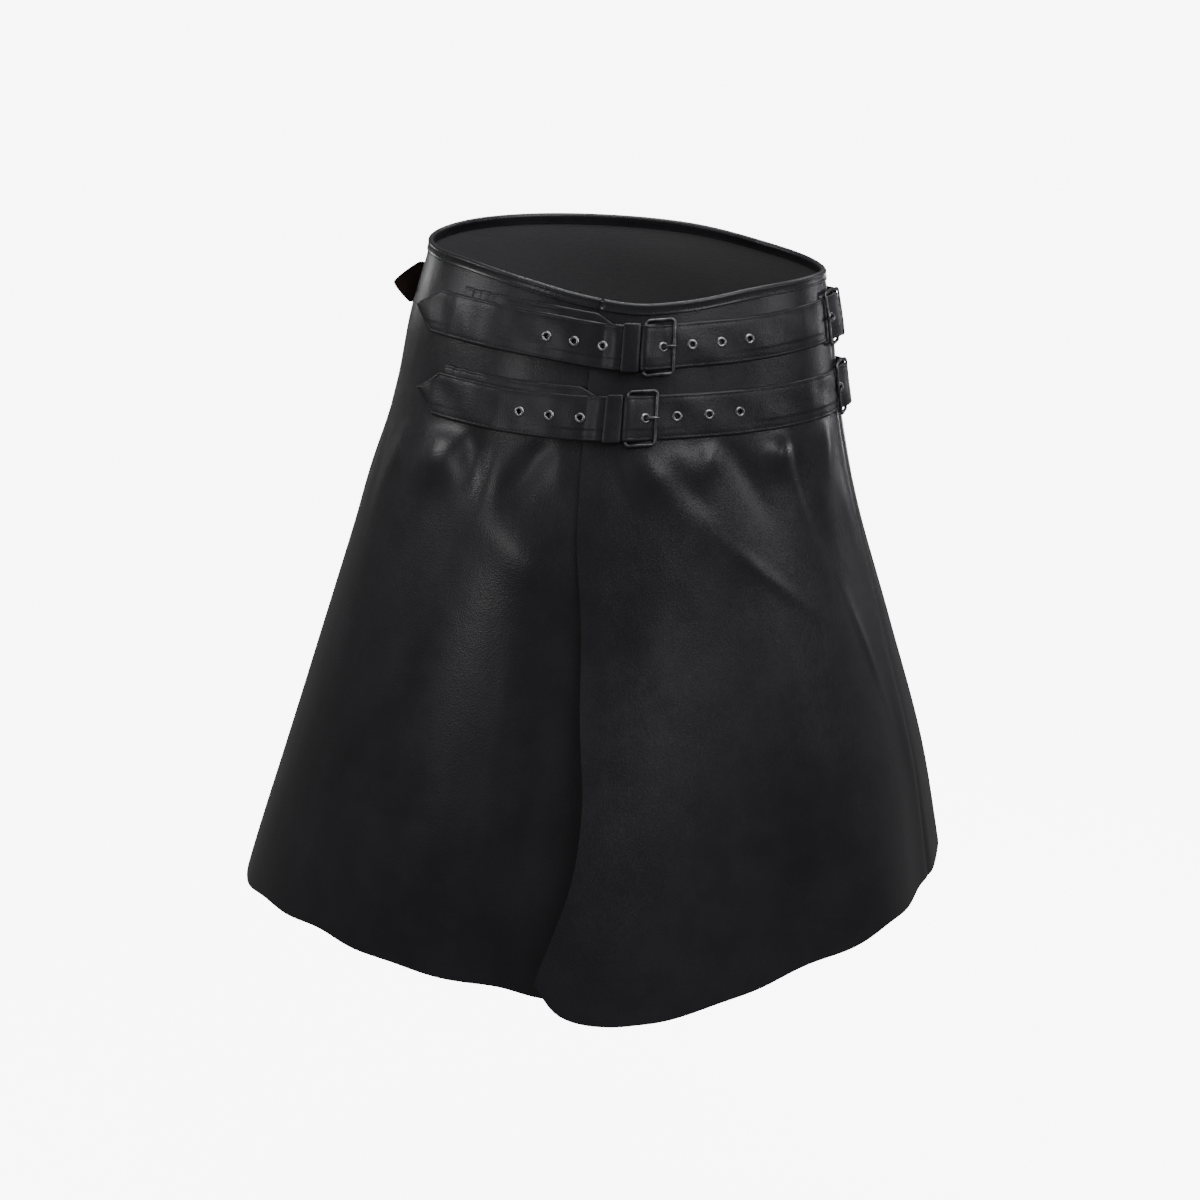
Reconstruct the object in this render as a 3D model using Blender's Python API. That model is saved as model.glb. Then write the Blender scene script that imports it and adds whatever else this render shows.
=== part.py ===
"""Wrap kilt in smooth black imitation leather, filled out as worn, with no wearer.

Metres, +Z up, the front towards -Y. The origin is the middle of the waist opening.
Angles go round the body in degrees: -90 front, 0 the wearer's left side, 90 back, 180 right side.
"""
import math

import bmesh
import bpy
import numpy as np
from mathutils import Vector
from mathutils.geometry import delaunay_2d_cdt

MM = 0.001

# Thicknesses, and the gap left between pieces that touch
CLOTH = 1.4 * MM
BINDING_CLOTH = 1.0 * MM
BAND_LEATHER = 1.6 * MM
STRAP_LEATHER = 1.8 * MM
GAP = 0.3 * MM

# Body form, a row for each level from hem to rim: height, half width, half depth, sideways shift
BODY_LEVELS = (
    (-0.620, 0.338, 0.298, -0.0400),
    (-0.575, 0.327, 0.288, -0.0365),
    (-0.460, 0.298, 0.260, -0.0260),
    (-0.340, 0.263, 0.225, -0.0205),
    (-0.220, 0.227, 0.187, -0.0157),
    (-0.114, 0.200, 0.154, -0.0075),
    (-0.054, 0.190, 0.138, -0.0040),
    (0.000, 0.1765, 0.123, 0.0000),
    (0.020, 0.172, 0.118, 0.0010),
)

# Soft folds that open towards the hem: angle, spread in degrees, depth at the hem, height where it starts
FOLDS = (
    (-150, 13, 0.006, -0.24),
    (-122, 10, -0.004, -0.34),
    (-45, 9, -0.007, -0.30),
    (-24, 9, 0.006, -0.26),
    (-4, 8, -0.005, -0.22),
    (22, 10, 0.009, -0.20),
    (48, 10, -0.008, -0.24),
    (74, 11, 0.010, -0.18),
    (101, 11, -0.009, -0.22),
    (127, 11, 0.009, -0.20),
    (152, 10, -0.007, -0.26),
    (174, 10, 0.006, -0.24),
)
FOLD_FULL = -0.60

# Waist rim round the body: angle, height
RIM_LINE = (
    (-180, 0.0130),
    (-150, 0.0090),
    (-126, 0.0050),
    (-104, -0.0050),
    (-89, -0.0140),
    (-72, -0.0210),
    (-60, -0.0190),
    (-41, -0.0120),
    (-15, -0.0095),
    (20, -0.0110),
    (50, -0.0050),
    (82, 0.0080),
    (112, 0.0140),
    (150, 0.0160),
)

# Hem round the body: angle, height
HEM_LINE = (
    (-180, -0.584),
    (-153, -0.587),
    (-130, -0.579),
    (-105, -0.581),
    (-83, -0.584),
    (-60, -0.583),
    (-43, -0.578),
    (-22, -0.567),
    (5, -0.566),
    (45, -0.569),
    (90, -0.572),
    (135, -0.577),
)

# Free front edge of the over panel: height, angle
FREE_EDGE = (
    (-0.600, -81.8),
    (-0.580, -81.6),
    (-0.547, -80.2),
    (-0.500, -78.3),
    (-0.440, -77.6),
    (-0.365, -79.0),
    (-0.263, -80.6),
    (-0.217, -82.2),
    (-0.138, -83.6),
    (-0.083, -84.0),
    (-0.010, -82.8),
)

# The over panel hangs lower near its rounded corner: degrees from the free edge, drop
CORNER_DROP = (
    (0.0, 0.0100),
    (0.8, 0.0000),
    (2.2, -0.0075),
    (4.5, -0.0130),
    (8.0, -0.0150),
    (14.0, -0.0130),
    (22.0, -0.0100),
    (31.0, -0.0060),
    (41.0, -0.0010),
    (60.0, 0.0000),
    (90.0, 0.0000),
)
# It also stands away from the body towards that corner
FLARE = 0.040
FLARE_SPREAD = 27.0
FLARE_START = -0.27

# Seams at the sides, and the hidden front edge of the under panel
LEFT_SEAM = 2.0
RIGHT_SEAM = -178.0
UNDER_EDGE = -52.0
# The under panel steps back behind the over panel
STEP_BACK = 0.0045
STEP_BACK_HEM = 0.0130
STEP_FROM = -112.0
STEP_TO = -87.0

# Panel grid, close together where the straps lie: share of the way from rim to hem
PANEL_ROWS = (0, 0.035, 0.08, 0.12, 0.16, 0.2, 0.24, 0.29, 0.36, 0.46, 0.57, 0.68, 0.79, 0.9, 1)
COLUMN_STEP = 5.2
CORNER_COLUMNS = (0, 0.8, 2.2, 4.5, 8.0)

# Binding folded over the rim
BINDING_DEPTH = 9.5 * MM
BINDING_SHOULDER = 0.8 * MM
BINDING_STEP = 5.6
RIM_TUCK = BINDING_CLOTH + GAP

# Straps and buckles
STRAP_HALF = 0.019
POINT_LENGTH = 0.028
WIRE = 1.5 * MM
FRAME_REACH = 0.024
FRAME_HALF = 0.0225
FRAME_CORNER = 0.004
FRAME_OUT = 3.9 * MM
PRONG_HALF_WIDTH = 1.2 * MM
PRONG_HALF_HEIGHT = 0.7 * MM
PRONG_AT = 0.0146
SLOT_HALF = 0.003
SLOT_REACH = 0.004
KEEPER_WIDTH = 0.014
KEEPER_AT = -0.011
KEEPER_LOW = 2.9 * MM
KEEPER_HIGH = 9.4 * MM
KEEPER_LEATHER = 1.0 * MM
KEEPER_CORNER = 1.0 * MM
BAND_EXTRA = 0.0075
BAND_EXTRA_FROM = -0.046
BAND_EXTRA_TO = -0.024
LEAN = 0.97

# Distances from a buckle's heel bar are positive towards its open bar
# Height of the strap's underside off the panel: distance, height
STRAP_STACK = ((-0.036, 0.0022), (-0.022, 0.0056), (-0.004, 0.0056), (0.000, 0.0076), (0.021, 0.0003))
# The same for the strap that holds the buckle, which is folded back round the heel bar
BAND_STACK = ((-0.034, 0.0003), (-0.022, 0.0037), (-0.004, 0.0037), (0.000, 0.0057))
FOLD_END = -0.020
LOOSE_TIP = 0.0010

# Prong from its eye, through the eyelet, to the open bar: distance, height
PRONG_SHANK = (
    (0.0050, 0.0034),
    (0.0088, 0.0017),
    (0.0116, 0.0018),
    (0.0146, 0.0033),
    (0.0172, 0.0053),
    (0.0205, 0.0064),
    (0.0240, 0.0067),
    (0.0262, 0.0062),
)
EYE_START = -60
EYE_END = -325
EYE_STEPS = 9

# Places of each level. A line gives angle and height along the middle of a strap
LEVELS = {
    "upper": {
        "front_line": (
            (-165, -0.0410),
            (-145, -0.0415),
            (-124, -0.0430),
            (-97, -0.0495),
            (-74, -0.0570),
            (-58, -0.0545),
            (-43, -0.0530),
            (-20, -0.0505),
            (0, -0.0500),
            (20, -0.0502),
            (45, -0.0510),
            (70, -0.0510),
        ),
        "back_line": (
            (-20, -0.0505),
            (0, -0.0500),
            (20, -0.0502),
            (45, -0.0510),
            (90, -0.0500),
            (135, -0.0460),
            (170, -0.0400),
            (215, -0.0370),
        ),
        "corner_angle": -136.0,
        "tip_lift": 0.005,
        "band_angle": -125.5,
        "heel_angle": -70.4,
        "side_heel_angle": 5.0,
        "hole_spacing": 0.0246,
        "back_end_angle": 190.0,
        "back_lift": 0.020,
    },
    "lower": {
        "front_line": (
            (-165, -0.1080),
            (-138, -0.1080),
            (-125, -0.1085),
            (-102, -0.1120),
            (-80, -0.1140),
            (-60, -0.1120),
            (-40, -0.1115),
            (-15, -0.1120),
            (5, -0.1130),
            (25, -0.1135),
            (45, -0.1140),
            (70, -0.1140),
        ),
        "back_line": (
            (-15, -0.1120),
            (5, -0.1130),
            (25, -0.1135),
            (45, -0.1140),
            (90, -0.1140),
            (135, -0.1120),
            (170, -0.1100),
            (215, -0.1090),
        ),
        "corner_angle": -127.5,
        "tip_lift": 0.003,
        "band_angle": -126.5,
        "heel_angle": -73.6,
        "side_heel_angle": 8.0,
        "hole_spacing": 0.0268,
        "back_end_angle": 176.0,
        "back_lift": 0.001,
    },
}
HOLES_LEFT = 4
HOLES_RIGHT = 3
TAIL_LENGTH = 0.075
BACK_LIFT_LENGTH = 0.050
FINE_STEP = 0.003
COARSE_STEP = 0.011

# Eyelet section in millimetres: radius, height above the strap's underside
EYELET_SECTION = ((2.3, 0.4), (2.7, 0.4), (2.7, 2.1), (5.0, 2.1), (4.2, 2.8), (2.3, 2.8))
STRAP_HOLE = 3.0 * MM
HOLE_MARGIN = 1.2 * MM
ROUND_SIDES = 10
WIRE_SIDES = 8


def smooth_rows(table, at):
    """Read every column of a table at a value of its first column, along a smooth curve."""
    rows = np.array(table, float)
    key = rows[:, 0]
    at = np.asarray(at, float)
    slope = np.gradient(rows, key, axis=0)
    low = np.clip(np.searchsorted(key, at) - 1, 0, len(key) - 2)
    span = key[low + 1] - key[low]
    part = np.clip((at - key[low]) / span, 0, 1)[..., None]
    span = span[..., None]
    square, cube = part**2, part**3
    start = (2 * cube - 3 * square + 1) * rows[low] + (cube - 2 * square + part) * span * slope[low]
    end = (3 * square - 2 * cube) * rows[low + 1] + (cube - square) * span * slope[low + 1]
    return start + end


def smooth_value(table, at):
    """The second column of a table with two columns."""
    return smooth_rows(table, at)[..., 1]


def round_table(table):
    """Repeat a table of angles one turn to each side."""
    return tuple((angle + turn, value) for turn in (-360, 0, 360) for angle, value in table)


RIM_ROUND = round_table(RIM_LINE)
HEM_ROUND = round_table(HEM_LINE)


def step(value, start, end):
    """0 before start, 1 after end, and a soft change between."""
    part = np.clip((np.asarray(value, float) - start) / (end - start), 0, 1)
    return part * part * (3 - 2 * part)


def stepped_value(table, at):
    """The second column of a table, level at each row and changing softly between rows."""
    total = np.full(np.shape(at), table[0][1], float)
    for (here, low), (there, high) in zip(table, table[1:]):
        total = total + (high - low) * step(at, here, there)
    return total


def turn_between(angle, centre):
    return (np.asarray(angle, float) - centre + 180) % 360 - 180


def body_point(angle, height):
    """A point of the body form, without its folds."""
    angle, height = np.broadcast_arrays(np.asarray(angle, float), np.asarray(height, float))
    level = smooth_rows(BODY_LEVELS, height)
    turn = np.radians(angle)
    sideways = level[..., 3] + level[..., 1] * np.cos(turn)
    return np.stack([sideways, level[..., 2] * np.sin(turn), height], -1)


def outward(angle, height):
    """The direction square to the body form."""
    turn, rise = 0.5, 0.002
    along = body_point(np.add(angle, turn), height) - body_point(np.subtract(angle, turn), height)
    upward = body_point(angle, np.add(height, rise)) - body_point(angle, np.subtract(height, rise))
    square = np.cross(along, upward)
    return square / np.linalg.norm(square, axis=-1, keepdims=True)


def fold_depth(angle, height):
    total = np.zeros(np.broadcast(angle, height).shape)
    for centre, spread, depth, start in FOLDS:
        across = np.exp(-((turn_between(angle, centre) / spread) ** 2))
        total = total + depth * across * step(height, start, FOLD_FULL)
    return total


def skin_point(angle, height, out=0.0):
    """A point that lies out from the folded body form."""
    distance = np.asarray(out + fold_depth(angle, height))[..., None]
    return body_point(angle, height) + distance * outward(angle, height)


def under_layer(angle, height):
    """The under panel lies behind the over panel where they overlap."""
    depth = STEP_BACK + (STEP_BACK_HEM - STEP_BACK) * step(height, -0.14, FOLD_FULL)
    return -depth * step(angle, STEP_FROM, STEP_TO)


def over_layer(angle, height):
    """The over panel stands away near its free corner."""
    spread = np.exp(-((turn_between(angle, -82) / FLARE_SPREAD) ** 2))
    return FLARE * spread * step(height, FLARE_START, FOLD_FULL - 0.03)


def plain_layer(angle, height):
    return np.zeros(np.broadcast(angle, height).shape)


def make_material(name, colour, roughness, metallic=0.0):
    material = bpy.data.materials.new(name)
    material.use_nodes = True
    shader = material.node_tree.nodes["Principled BSDF"]
    shader.inputs["Base Color"].default_value = (*colour, 1.0)
    shader.inputs["Roughness"].default_value = roughness
    shader.inputs["Metallic"].default_value = metallic
    return material


def make_object(name, vertices, faces, material):
    """A closed solid with its faces pointing out."""
    mesh = bpy.data.meshes.new(name)
    shape = bmesh.new()
    points = [shape.verts.new(Vector(point)) for point in vertices]
    for face in faces:
        shape.faces.new([points[index] for index in face])
    bmesh.ops.recalc_face_normals(shape, faces=shape.faces)
    bmesh.ops.triangulate(shape, faces=shape.faces)
    shape.to_mesh(mesh)
    shape.free()
    mesh.shade_smooth()
    mesh.set_sharp_from_angle(angle=math.radians(40))
    mesh.materials.append(material)
    made = bpy.data.objects.new(name, mesh)
    bpy.context.collection.objects.link(made)
    return made


def wall(name, outer, inner, material):
    """A cloth wall between an outer and an inner grid of points."""
    rows, columns = outer.shape[:2]
    vertices = np.concatenate([outer.reshape(-1, 3), inner.reshape(-1, 3)])
    far = rows * columns
    faces = []
    for row in range(rows - 1):
        for column in range(columns - 1):
            corner = row * columns + column
            quad = (corner, corner + 1, corner + columns + 1, corner + columns)
            faces.append(quad)
            faces.append(tuple(far + index for index in reversed(quad)))
    border = list(range(columns))
    border += [row * columns + columns - 1 for row in range(1, rows)]
    border += [(rows - 1) * columns + column for column in range(columns - 2, -1, -1)]
    border += [row * columns for row in range(rows - 2, 0, -1)]
    for here, there in zip(border, border[1:] + border[:1]):
        faces.append((here, far + here, far + there, there))
    return make_object(name, vertices, faces, material)


def sweep(name, sections, closed, material):
    """A bar or strip through a row of like sections, closed in a ring or capped at its ends."""
    sections = np.asarray(sections)
    count, sides = sections.shape[:2]
    faces = []
    for here in range(count if closed else count - 1):
        first, second = here * sides, (here + 1) % count * sides
        for side in range(sides):
            beside = (side + 1) % sides
            faces.append((first + side, first + beside, second + beside, second + side))
    if not closed:
        faces.append(tuple(range(sides)))
        faces.append(tuple((count - 1) * sides + side for side in reversed(range(sides))))
    return make_object(name, sections.reshape(-1, 3), faces, material)


def inside(point, loop):
    """Whether a flat point lies inside a loop."""
    hit = False
    for (x_a, y_a), (x_b, y_b) in zip(loop, loop[1:] + loop[:1]):
        if (y_a > point[1]) != (y_b > point[1]):
            crossing = x_a + (point[1] - y_a) / (y_b - y_a) * (x_b - x_a)
            hit = hit != (point[0] < crossing)
    return hit


def cut_leather(outline, holes, inner_points):
    """Cut a flat piece: its points, and triangles inside the outline and outside the holes."""
    points, edges = [], []
    for loop in [outline] + holes:
        first = len(points)
        points += loop
        edges += [(first + index, first + (index + 1) % len(loop)) for index in range(len(loop))]
    flat = [Vector(point) / MM for point in points + inner_points]
    found = delaunay_2d_cdt(flat, edges, [], 1, 1e-5)
    places = np.array([tuple(point) for point in found[0]]) * MM
    kept = [tuple(face) for face in found[2]]
    for hole in holes:
        kept = [face for face in kept if not inside(places[list(face)].mean(axis=0), hole)]
    return places, kept


def leather_solid(name, cut, thickness, place, material):
    """Give a cut piece its thickness and put it in its place."""
    places, triangles = cut
    count = len(places)
    under = place(places[:, 0], places[:, 1], np.zeros(count))
    over = place(places[:, 0], places[:, 1], np.full(count, thickness))
    faces = [tuple(reversed(triangle)) for triangle in triangles]
    faces += [tuple(count + index for index in triangle) for triangle in triangles]
    sides = {side for face in triangles for side in zip(face, face[1:] + face[:1])}
    for here, there in sorted(sides):
        if (there, here) not in sides:
            faces.append((here, there, count + there, count + here))
    return make_object(name, np.concatenate([under, over]), faces, material)


def circle(centre, radius):
    """A round hole in a flat piece, cut on its middle line."""
    turns = [2 * math.pi * side / ROUND_SIDES for side in range(ROUND_SIDES)]
    return [(centre + radius * math.cos(turn), radius * math.sin(turn)) for turn in turns]


class StrapLine:
    """The middle line of a strap round the skirt, measured from a heel bar."""

    def __init__(self, line, heel_angle):
        self.line = line
        self.angles = np.arange(line[0][0], line[-1][0] + 0.25, 0.5)
        points = body_point(self.angles, smooth_value(line, self.angles))
        lengths = np.linalg.norm(np.diff(points, axis=0), axis=1)
        self.run = np.concatenate([[0], np.cumsum(lengths)])
        self.run = self.run - np.interp(heel_angle, self.angles, self.run)

    def along(self, angle):
        return float(np.interp(angle, self.angles, self.run))

    def point(self, along, across, out):
        """A point along the strap, across it, and off the panel."""
        angle = np.interp(along, self.run, self.angles)
        height = smooth_value(self.line, angle) + np.asarray(across) * LEAN
        return skin_point(angle, height, out)


class Layer:
    """A leather strip's underside, seen edge on: distance along the strap against height."""

    def __init__(self, points):
        self.points = np.array(points, float)
        steps = np.diff(self.points, axis=0)
        self.run = np.concatenate([[0], np.cumsum(np.linalg.norm(steps, axis=1))])
        slopes = np.gradient(self.points, self.run, axis=0)
        square = np.stack([-slopes[:, 1], slopes[:, 0]], -1)
        self.square = square / np.linalg.norm(square, axis=1, keepdims=True)

    def start_at(self, index):
        self.run = self.run - self.run[index]

    def place(self, run, lift):
        """Distance and height of a point of the strip at a length along it."""
        columns = [np.interp(run, self.run, self.points[:, axis]) for axis in (0, 1)]
        directions = [np.interp(run, self.run, self.square[:, axis]) for axis in (0, 1)]
        return columns[0] + directions[0] * lift, columns[1] + directions[1] * lift


def spaced(start, end, fine_spots):
    """Distances from start to end, close together near the fine spots."""
    places = [start]
    while places[-1] < end - FINE_STEP:
        near = any(low <= places[-1] <= high for low, high in fine_spots)
        places.append(places[-1] + (FINE_STEP if near else COARSE_STEP))
    places[-1] = end
    return places


def strip_cut(lower, upper, holes):
    """Cut a strip between the points of its two edges."""
    outline = list(lower)
    for point in reversed(upper):
        if all(math.dist(point, other) > MM * 0.01 for other in lower):
            outline.append(point)
    inner = []
    for at, _ in lower[1:-1]:
        if all(at < min(hole)[0] - HOLE_MARGIN or at > max(hole)[0] + HOLE_MARGIN for hole in holes):
            inner.append((at, 0.0))
    return cut_leather(outline, holes, inner)


class Buckle:
    """A buckle's places on a strap line: its heel bar, and which way its frame lies."""

    def __init__(self, line, heel, side):
        self.line = line
        self.heel = heel
        self.side = side

    def point(self, distance, across, out):
        return self.line.point(self.heel + self.side * np.asarray(distance), across, out)


def make_frame(name, buckle, material):
    """Rectangular wire frame with rounded corners."""
    centres = []
    for side, turn_from in ((1, 0), (1, 90), (-1, 180), (-1, 270)):
        middle = FRAME_REACH - FRAME_CORNER if turn_from in (0, 270) else FRAME_CORNER
        for turn in (0, 30, 60, 90):
            angle = math.radians(turn_from + turn)
            aim = (math.cos(angle), math.sin(angle))
            across = side * (FRAME_HALF - FRAME_CORNER)
            centres.append((middle + FRAME_CORNER * aim[0], across + FRAME_CORNER * aim[1], aim))
        if turn_from == 90:
            centres.append((0.0, 0.0, (-1.0, 0.0)))
        if turn_from == 270:
            centres.append((FRAME_REACH, 0.0, (1.0, 0.0)))
    sections = []
    for distance, across, aim in centres:
        section = []
        for side in range(WIRE_SIDES):
            turn = 2 * math.pi * (side + 0.5) / WIRE_SIDES
            push = WIRE * math.cos(turn)
            spot = (distance + push * aim[0], across + push * aim[1], FRAME_OUT + WIRE * math.sin(turn))
            section.append(buckle.point(*spot))
        sections.append(section)
    return sweep(name, sections, True, material)


def make_prong(name, buckle, material):
    """Flat prong whose eye goes round the heel bar and whose tip rests on the open bar."""
    reach = WIRE + GAP + PRONG_HALF_HEIGHT
    turns = np.radians(np.linspace(EYE_START, EYE_END, EYE_STEPS))
    centres = [(reach * math.cos(turn), FRAME_OUT + reach * math.sin(turn)) for turn in turns]
    path = Layer(centres + list(PRONG_SHANK))
    sections = []
    for index, run in enumerate(path.run):
        narrow = 0.7 if index == len(path.run) - 1 else 1.0
        section = []
        for side in range(6):
            turn = 2 * math.pi * (side + 0.5) / 6
            lift = PRONG_HALF_HEIGHT * narrow * math.sin(turn)
            distance, out = path.place(run, lift)
            section.append(buckle.point(distance, PRONG_HALF_WIDTH * narrow * math.cos(turn), out))
        sections.append(section)
    return sweep(name, sections, False, material)


def make_keeper(name, buckle, material):
    """Closed leather loop between the folded strap's layers and over the strap."""
    half = STRAP_HALF + GAP + KEEPER_LEATHER / 2
    corners = ((1, KEEPER_HIGH, 0), (-1, KEEPER_HIGH, 90), (-1, KEEPER_LOW, 180), (1, KEEPER_LOW, 270))
    centres = []
    for side, height, turn_from in corners:
        inward = -1 if height == KEEPER_HIGH else 1
        for turn in (0, 45, 90):
            angle = math.radians(turn_from + turn)
            aim = (math.cos(angle), math.sin(angle))
            across = side * (half - KEEPER_CORNER) + KEEPER_CORNER * aim[0]
            centres.append((across, height + inward * KEEPER_CORNER + KEEPER_CORNER * aim[1], aim))
        if turn_from in (0, 180):
            centres.append((0.0, height, (0.0, -inward)))
    sections = []
    for across, out, aim in centres:
        section = []
        for end, skin in ((-1, -1), (1, -1), (1, 1), (-1, 1)):
            push = skin * KEEPER_LEATHER / 2
            distance = KEEPER_AT + end * KEEPER_WIDTH / 2
            section.append(buckle.point(distance, across + push * aim[0], out + push * aim[1]))
        sections.append(section)
    return sweep(name, sections, True, material)


def make_holding_strap(name, buckle, length, low_edge, high_edge, lift, material):
    """Strap that is folded round a heel bar and slotted there for the prong."""
    spots = [(-0.040, 0.001), (-length, -length + BACK_LIFT_LENGTH if lift else -length)]
    main = spaced(-length, 0.0, spots)
    heights = stepped_value(BAND_STACK, np.array(main))
    raised = lift * (1 - step(np.array(main), -length, -length + BACK_LIFT_LENGTH))
    layer = list(zip(main, heights + raised))
    inner_radius = WIRE + GAP
    for turn in (60, 30, 0, -30, -60, -90):
        angle = math.radians(turn)
        layer.append((inner_radius * math.cos(angle), FRAME_OUT + inner_radius * math.sin(angle)))
    layer += [(at, FRAME_OUT - inner_radius) for at in np.linspace(0, FOLD_END, 6)[1:]]
    path = Layer(layer)
    path.start_at(len(main) - 1)
    slot_end = math.pi * inner_radius + SLOT_REACH
    slot_run = [-SLOT_REACH] + [at for at in path.run if -SLOT_REACH < at < slot_end] + [slot_end]
    slot = [(at, -SLOT_HALF) for at in slot_run] + [(at, SLOT_HALF) for at in reversed(slot_run)]
    far_end = path.run[0]
    low = [(at, low_edge(at, at - far_end)) for at in path.run]
    high = [(at, high_edge(at, at - far_end)) for at in path.run]
    cut = strip_cut(low, high, [slot])

    def place(run, across, depth):
        distance, out = path.place(run, depth)
        return buckle.point(distance, across, out)

    return leather_solid(name, cut, BAND_LEATHER, place, material)


def make_front_strap(level, places, front, side, materials):
    """Long strap: a point at the wearer's right, through both buckles, and a point behind the left hip."""
    line = front.line
    corner = line.along(places["corner_angle"])
    start = corner - POINT_LENGTH
    end = side.heel + TAIL_LENGTH
    band_end = line.along(places["band_angle"])
    fine = [(-0.042, 0.028), (side.heel - 0.028, side.heel + 0.042)]
    along = np.array(spaced(start, end, fine))
    middle = side.heel / 2
    distance = np.where(along < middle, along, side.heel - along)
    heights = stepped_value(STRAP_STACK, distance)
    past_band = 1 - step(along, band_end - 0.014, band_end - 0.002)
    heights = heights + (LOOSE_TIP - heights) * past_band
    heights = heights + places["tip_lift"] * (1 - step(along, start, corner + 0.012))
    path = Layer(list(zip(along, heights)))
    spots = [PRONG_AT + places["hole_spacing"] * count for count in range(-HOLES_LEFT, HOLES_RIGHT + 1)]
    spots.append(side.heel - PRONG_AT)
    holes = [float(np.interp(spot, path.points[:, 0], path.run)) for spot in spots]
    length = path.run[-1]

    def half_width(run):
        return STRAP_HALF * min(1, run / POINT_LENGTH, (length - run) / POINT_LENGTH)

    run = sorted(set(list(path.run) + [POINT_LENGTH, length - POINT_LENGTH]))
    low = [(at, -half_width(at)) for at in run]
    high = [(at, half_width(at)) for at in run]
    cut = strip_cut(low, high, [circle(hole, STRAP_HOLE) for hole in holes])

    def place(at, across, depth):
        distance_along, out = path.place(at, depth)
        return line.point(distance_along, across, out)

    leather_solid(f"{level}_front_strap", cut, STRAP_LEATHER, place, materials["strap"])
    for number, hole in enumerate(holes, 1):
        sections = []
        for part in range(ROUND_SIDES):
            turn = 2 * math.pi * part / ROUND_SIDES
            aim = (math.cos(turn), math.sin(turn))
            rows = [(radius * MM, lift * MM) for radius, lift in EYELET_SECTION]
            sections.append([place(hole + radius * aim[0], radius * aim[1], lift) for radius, lift in rows])
        sweep(f"{level}_eyelet_{number:02d}", sections, True, materials["metal"])


def make_level(level, places, materials):
    """Everything on one of the two belts."""
    line = StrapLine(places["front_line"], places["heel_angle"])
    back_line = StrapLine(places["back_line"], places["side_heel_angle"])
    front = Buckle(line, 0.0, 1)
    side = Buckle(line, line.along(places["side_heel_angle"]), -1)
    side_back = Buckle(back_line, 0.0, -1)
    for where, buckle in (("front", front), ("side", side)):
        make_frame(f"{level}_{where}_frame", buckle, materials["metal"])
        make_prong(f"{level}_{where}_prong", buckle, materials["metal"])
        make_keeper(f"{level}_{where}_keeper", buckle, materials["strap"])

    def band_top(run, from_end):
        return STRAP_HALF + BAND_EXTRA * float(1 - step(run, BAND_EXTRA_FROM, BAND_EXTRA_TO))

    def plain_low(run, from_end):
        return -STRAP_HALF

    def pointed_half(run, from_end):
        return STRAP_HALF * min(1.0, from_end / POINT_LENGTH)

    def pointed_low(run, from_end):
        return -pointed_half(run, from_end)

    band_length = -line.along(places["band_angle"])
    band = (f"{level}_buckle_strap", front, band_length, plain_low, band_top, 0.0)
    make_holding_strap(*band, materials["strap"])
    back_length = back_line.along(places["back_end_angle"])
    back = (f"{level}_back_strap", side_back, back_length, pointed_low, pointed_half, places["back_lift"])
    make_holding_strap(*back, materials["strap"])
    make_front_strap(level, places, front, side, materials)


def seam_turn(height):
    """Half of a seam's gap, in degrees, at a height."""
    half_depth = smooth_rows(BODY_LEVELS, height)[..., 2]
    return np.degrees(GAP / 2 / half_depth)


def make_panel(name, left_edge, right_edge, shares, layer, drop, material):
    """A cloth panel from rim to hem between two edges that may change with height."""
    share_down = np.array(PANEL_ROWS)[:, None]
    rough_height = -0.012 + (-0.582 + 0.012) * share_down
    left = left_edge(rough_height)
    right = right_edge(rough_height)
    angle = left + (right - left) * np.array(shares)[None, :]
    top = smooth_value(RIM_ROUND, angle) - RIM_TUCK
    bottom = smooth_value(HEM_ROUND, angle) + drop(angle - left)
    height = top + (bottom - top) * share_down
    out = layer(angle, height)
    outer = skin_point(angle, height, out)
    inner = skin_point(angle, height, out - CLOTH)
    return wall(name, outer, inner, material)


def even_shares(width):
    return list(np.linspace(0, 1, round(width / COLUMN_STEP) + 1))


def make_panels(material):
    def free_edge(height):
        return smooth_value(FREE_EDGE, height)

    def no_drop(turn):
        return np.zeros(turn.shape)

    def corner_drop(turn):
        return smooth_value(CORNER_DROP, turn)

    width = LEFT_SEAM - FREE_EDGE[-1][1]
    corner = [turn / width for turn in CORNER_COLUMNS]
    rest = np.linspace(corner[-1], 1, round((width - CORNER_COLUMNS[-1]) / COLUMN_STEP) + 1)[1:]
    over_left = LEFT_SEAM, corner + list(rest)
    make_panel("front_over_panel", free_edge, lambda height: over_left[0] - seam_turn(height),
               over_left[1], over_layer, corner_drop, material)
    make_panel("back_panel", lambda height: LEFT_SEAM + seam_turn(height),
               lambda height: RIGHT_SEAM + 360 - seam_turn(height),
               even_shares(RIGHT_SEAM + 360 - LEFT_SEAM), plain_layer, no_drop, material)
    make_panel("front_under_panel", lambda height: RIGHT_SEAM + seam_turn(height),
               lambda height: UNDER_EDGE + 0 * height,
               even_shares(UNDER_EDGE - RIGHT_SEAM), under_layer, no_drop, material)


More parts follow.
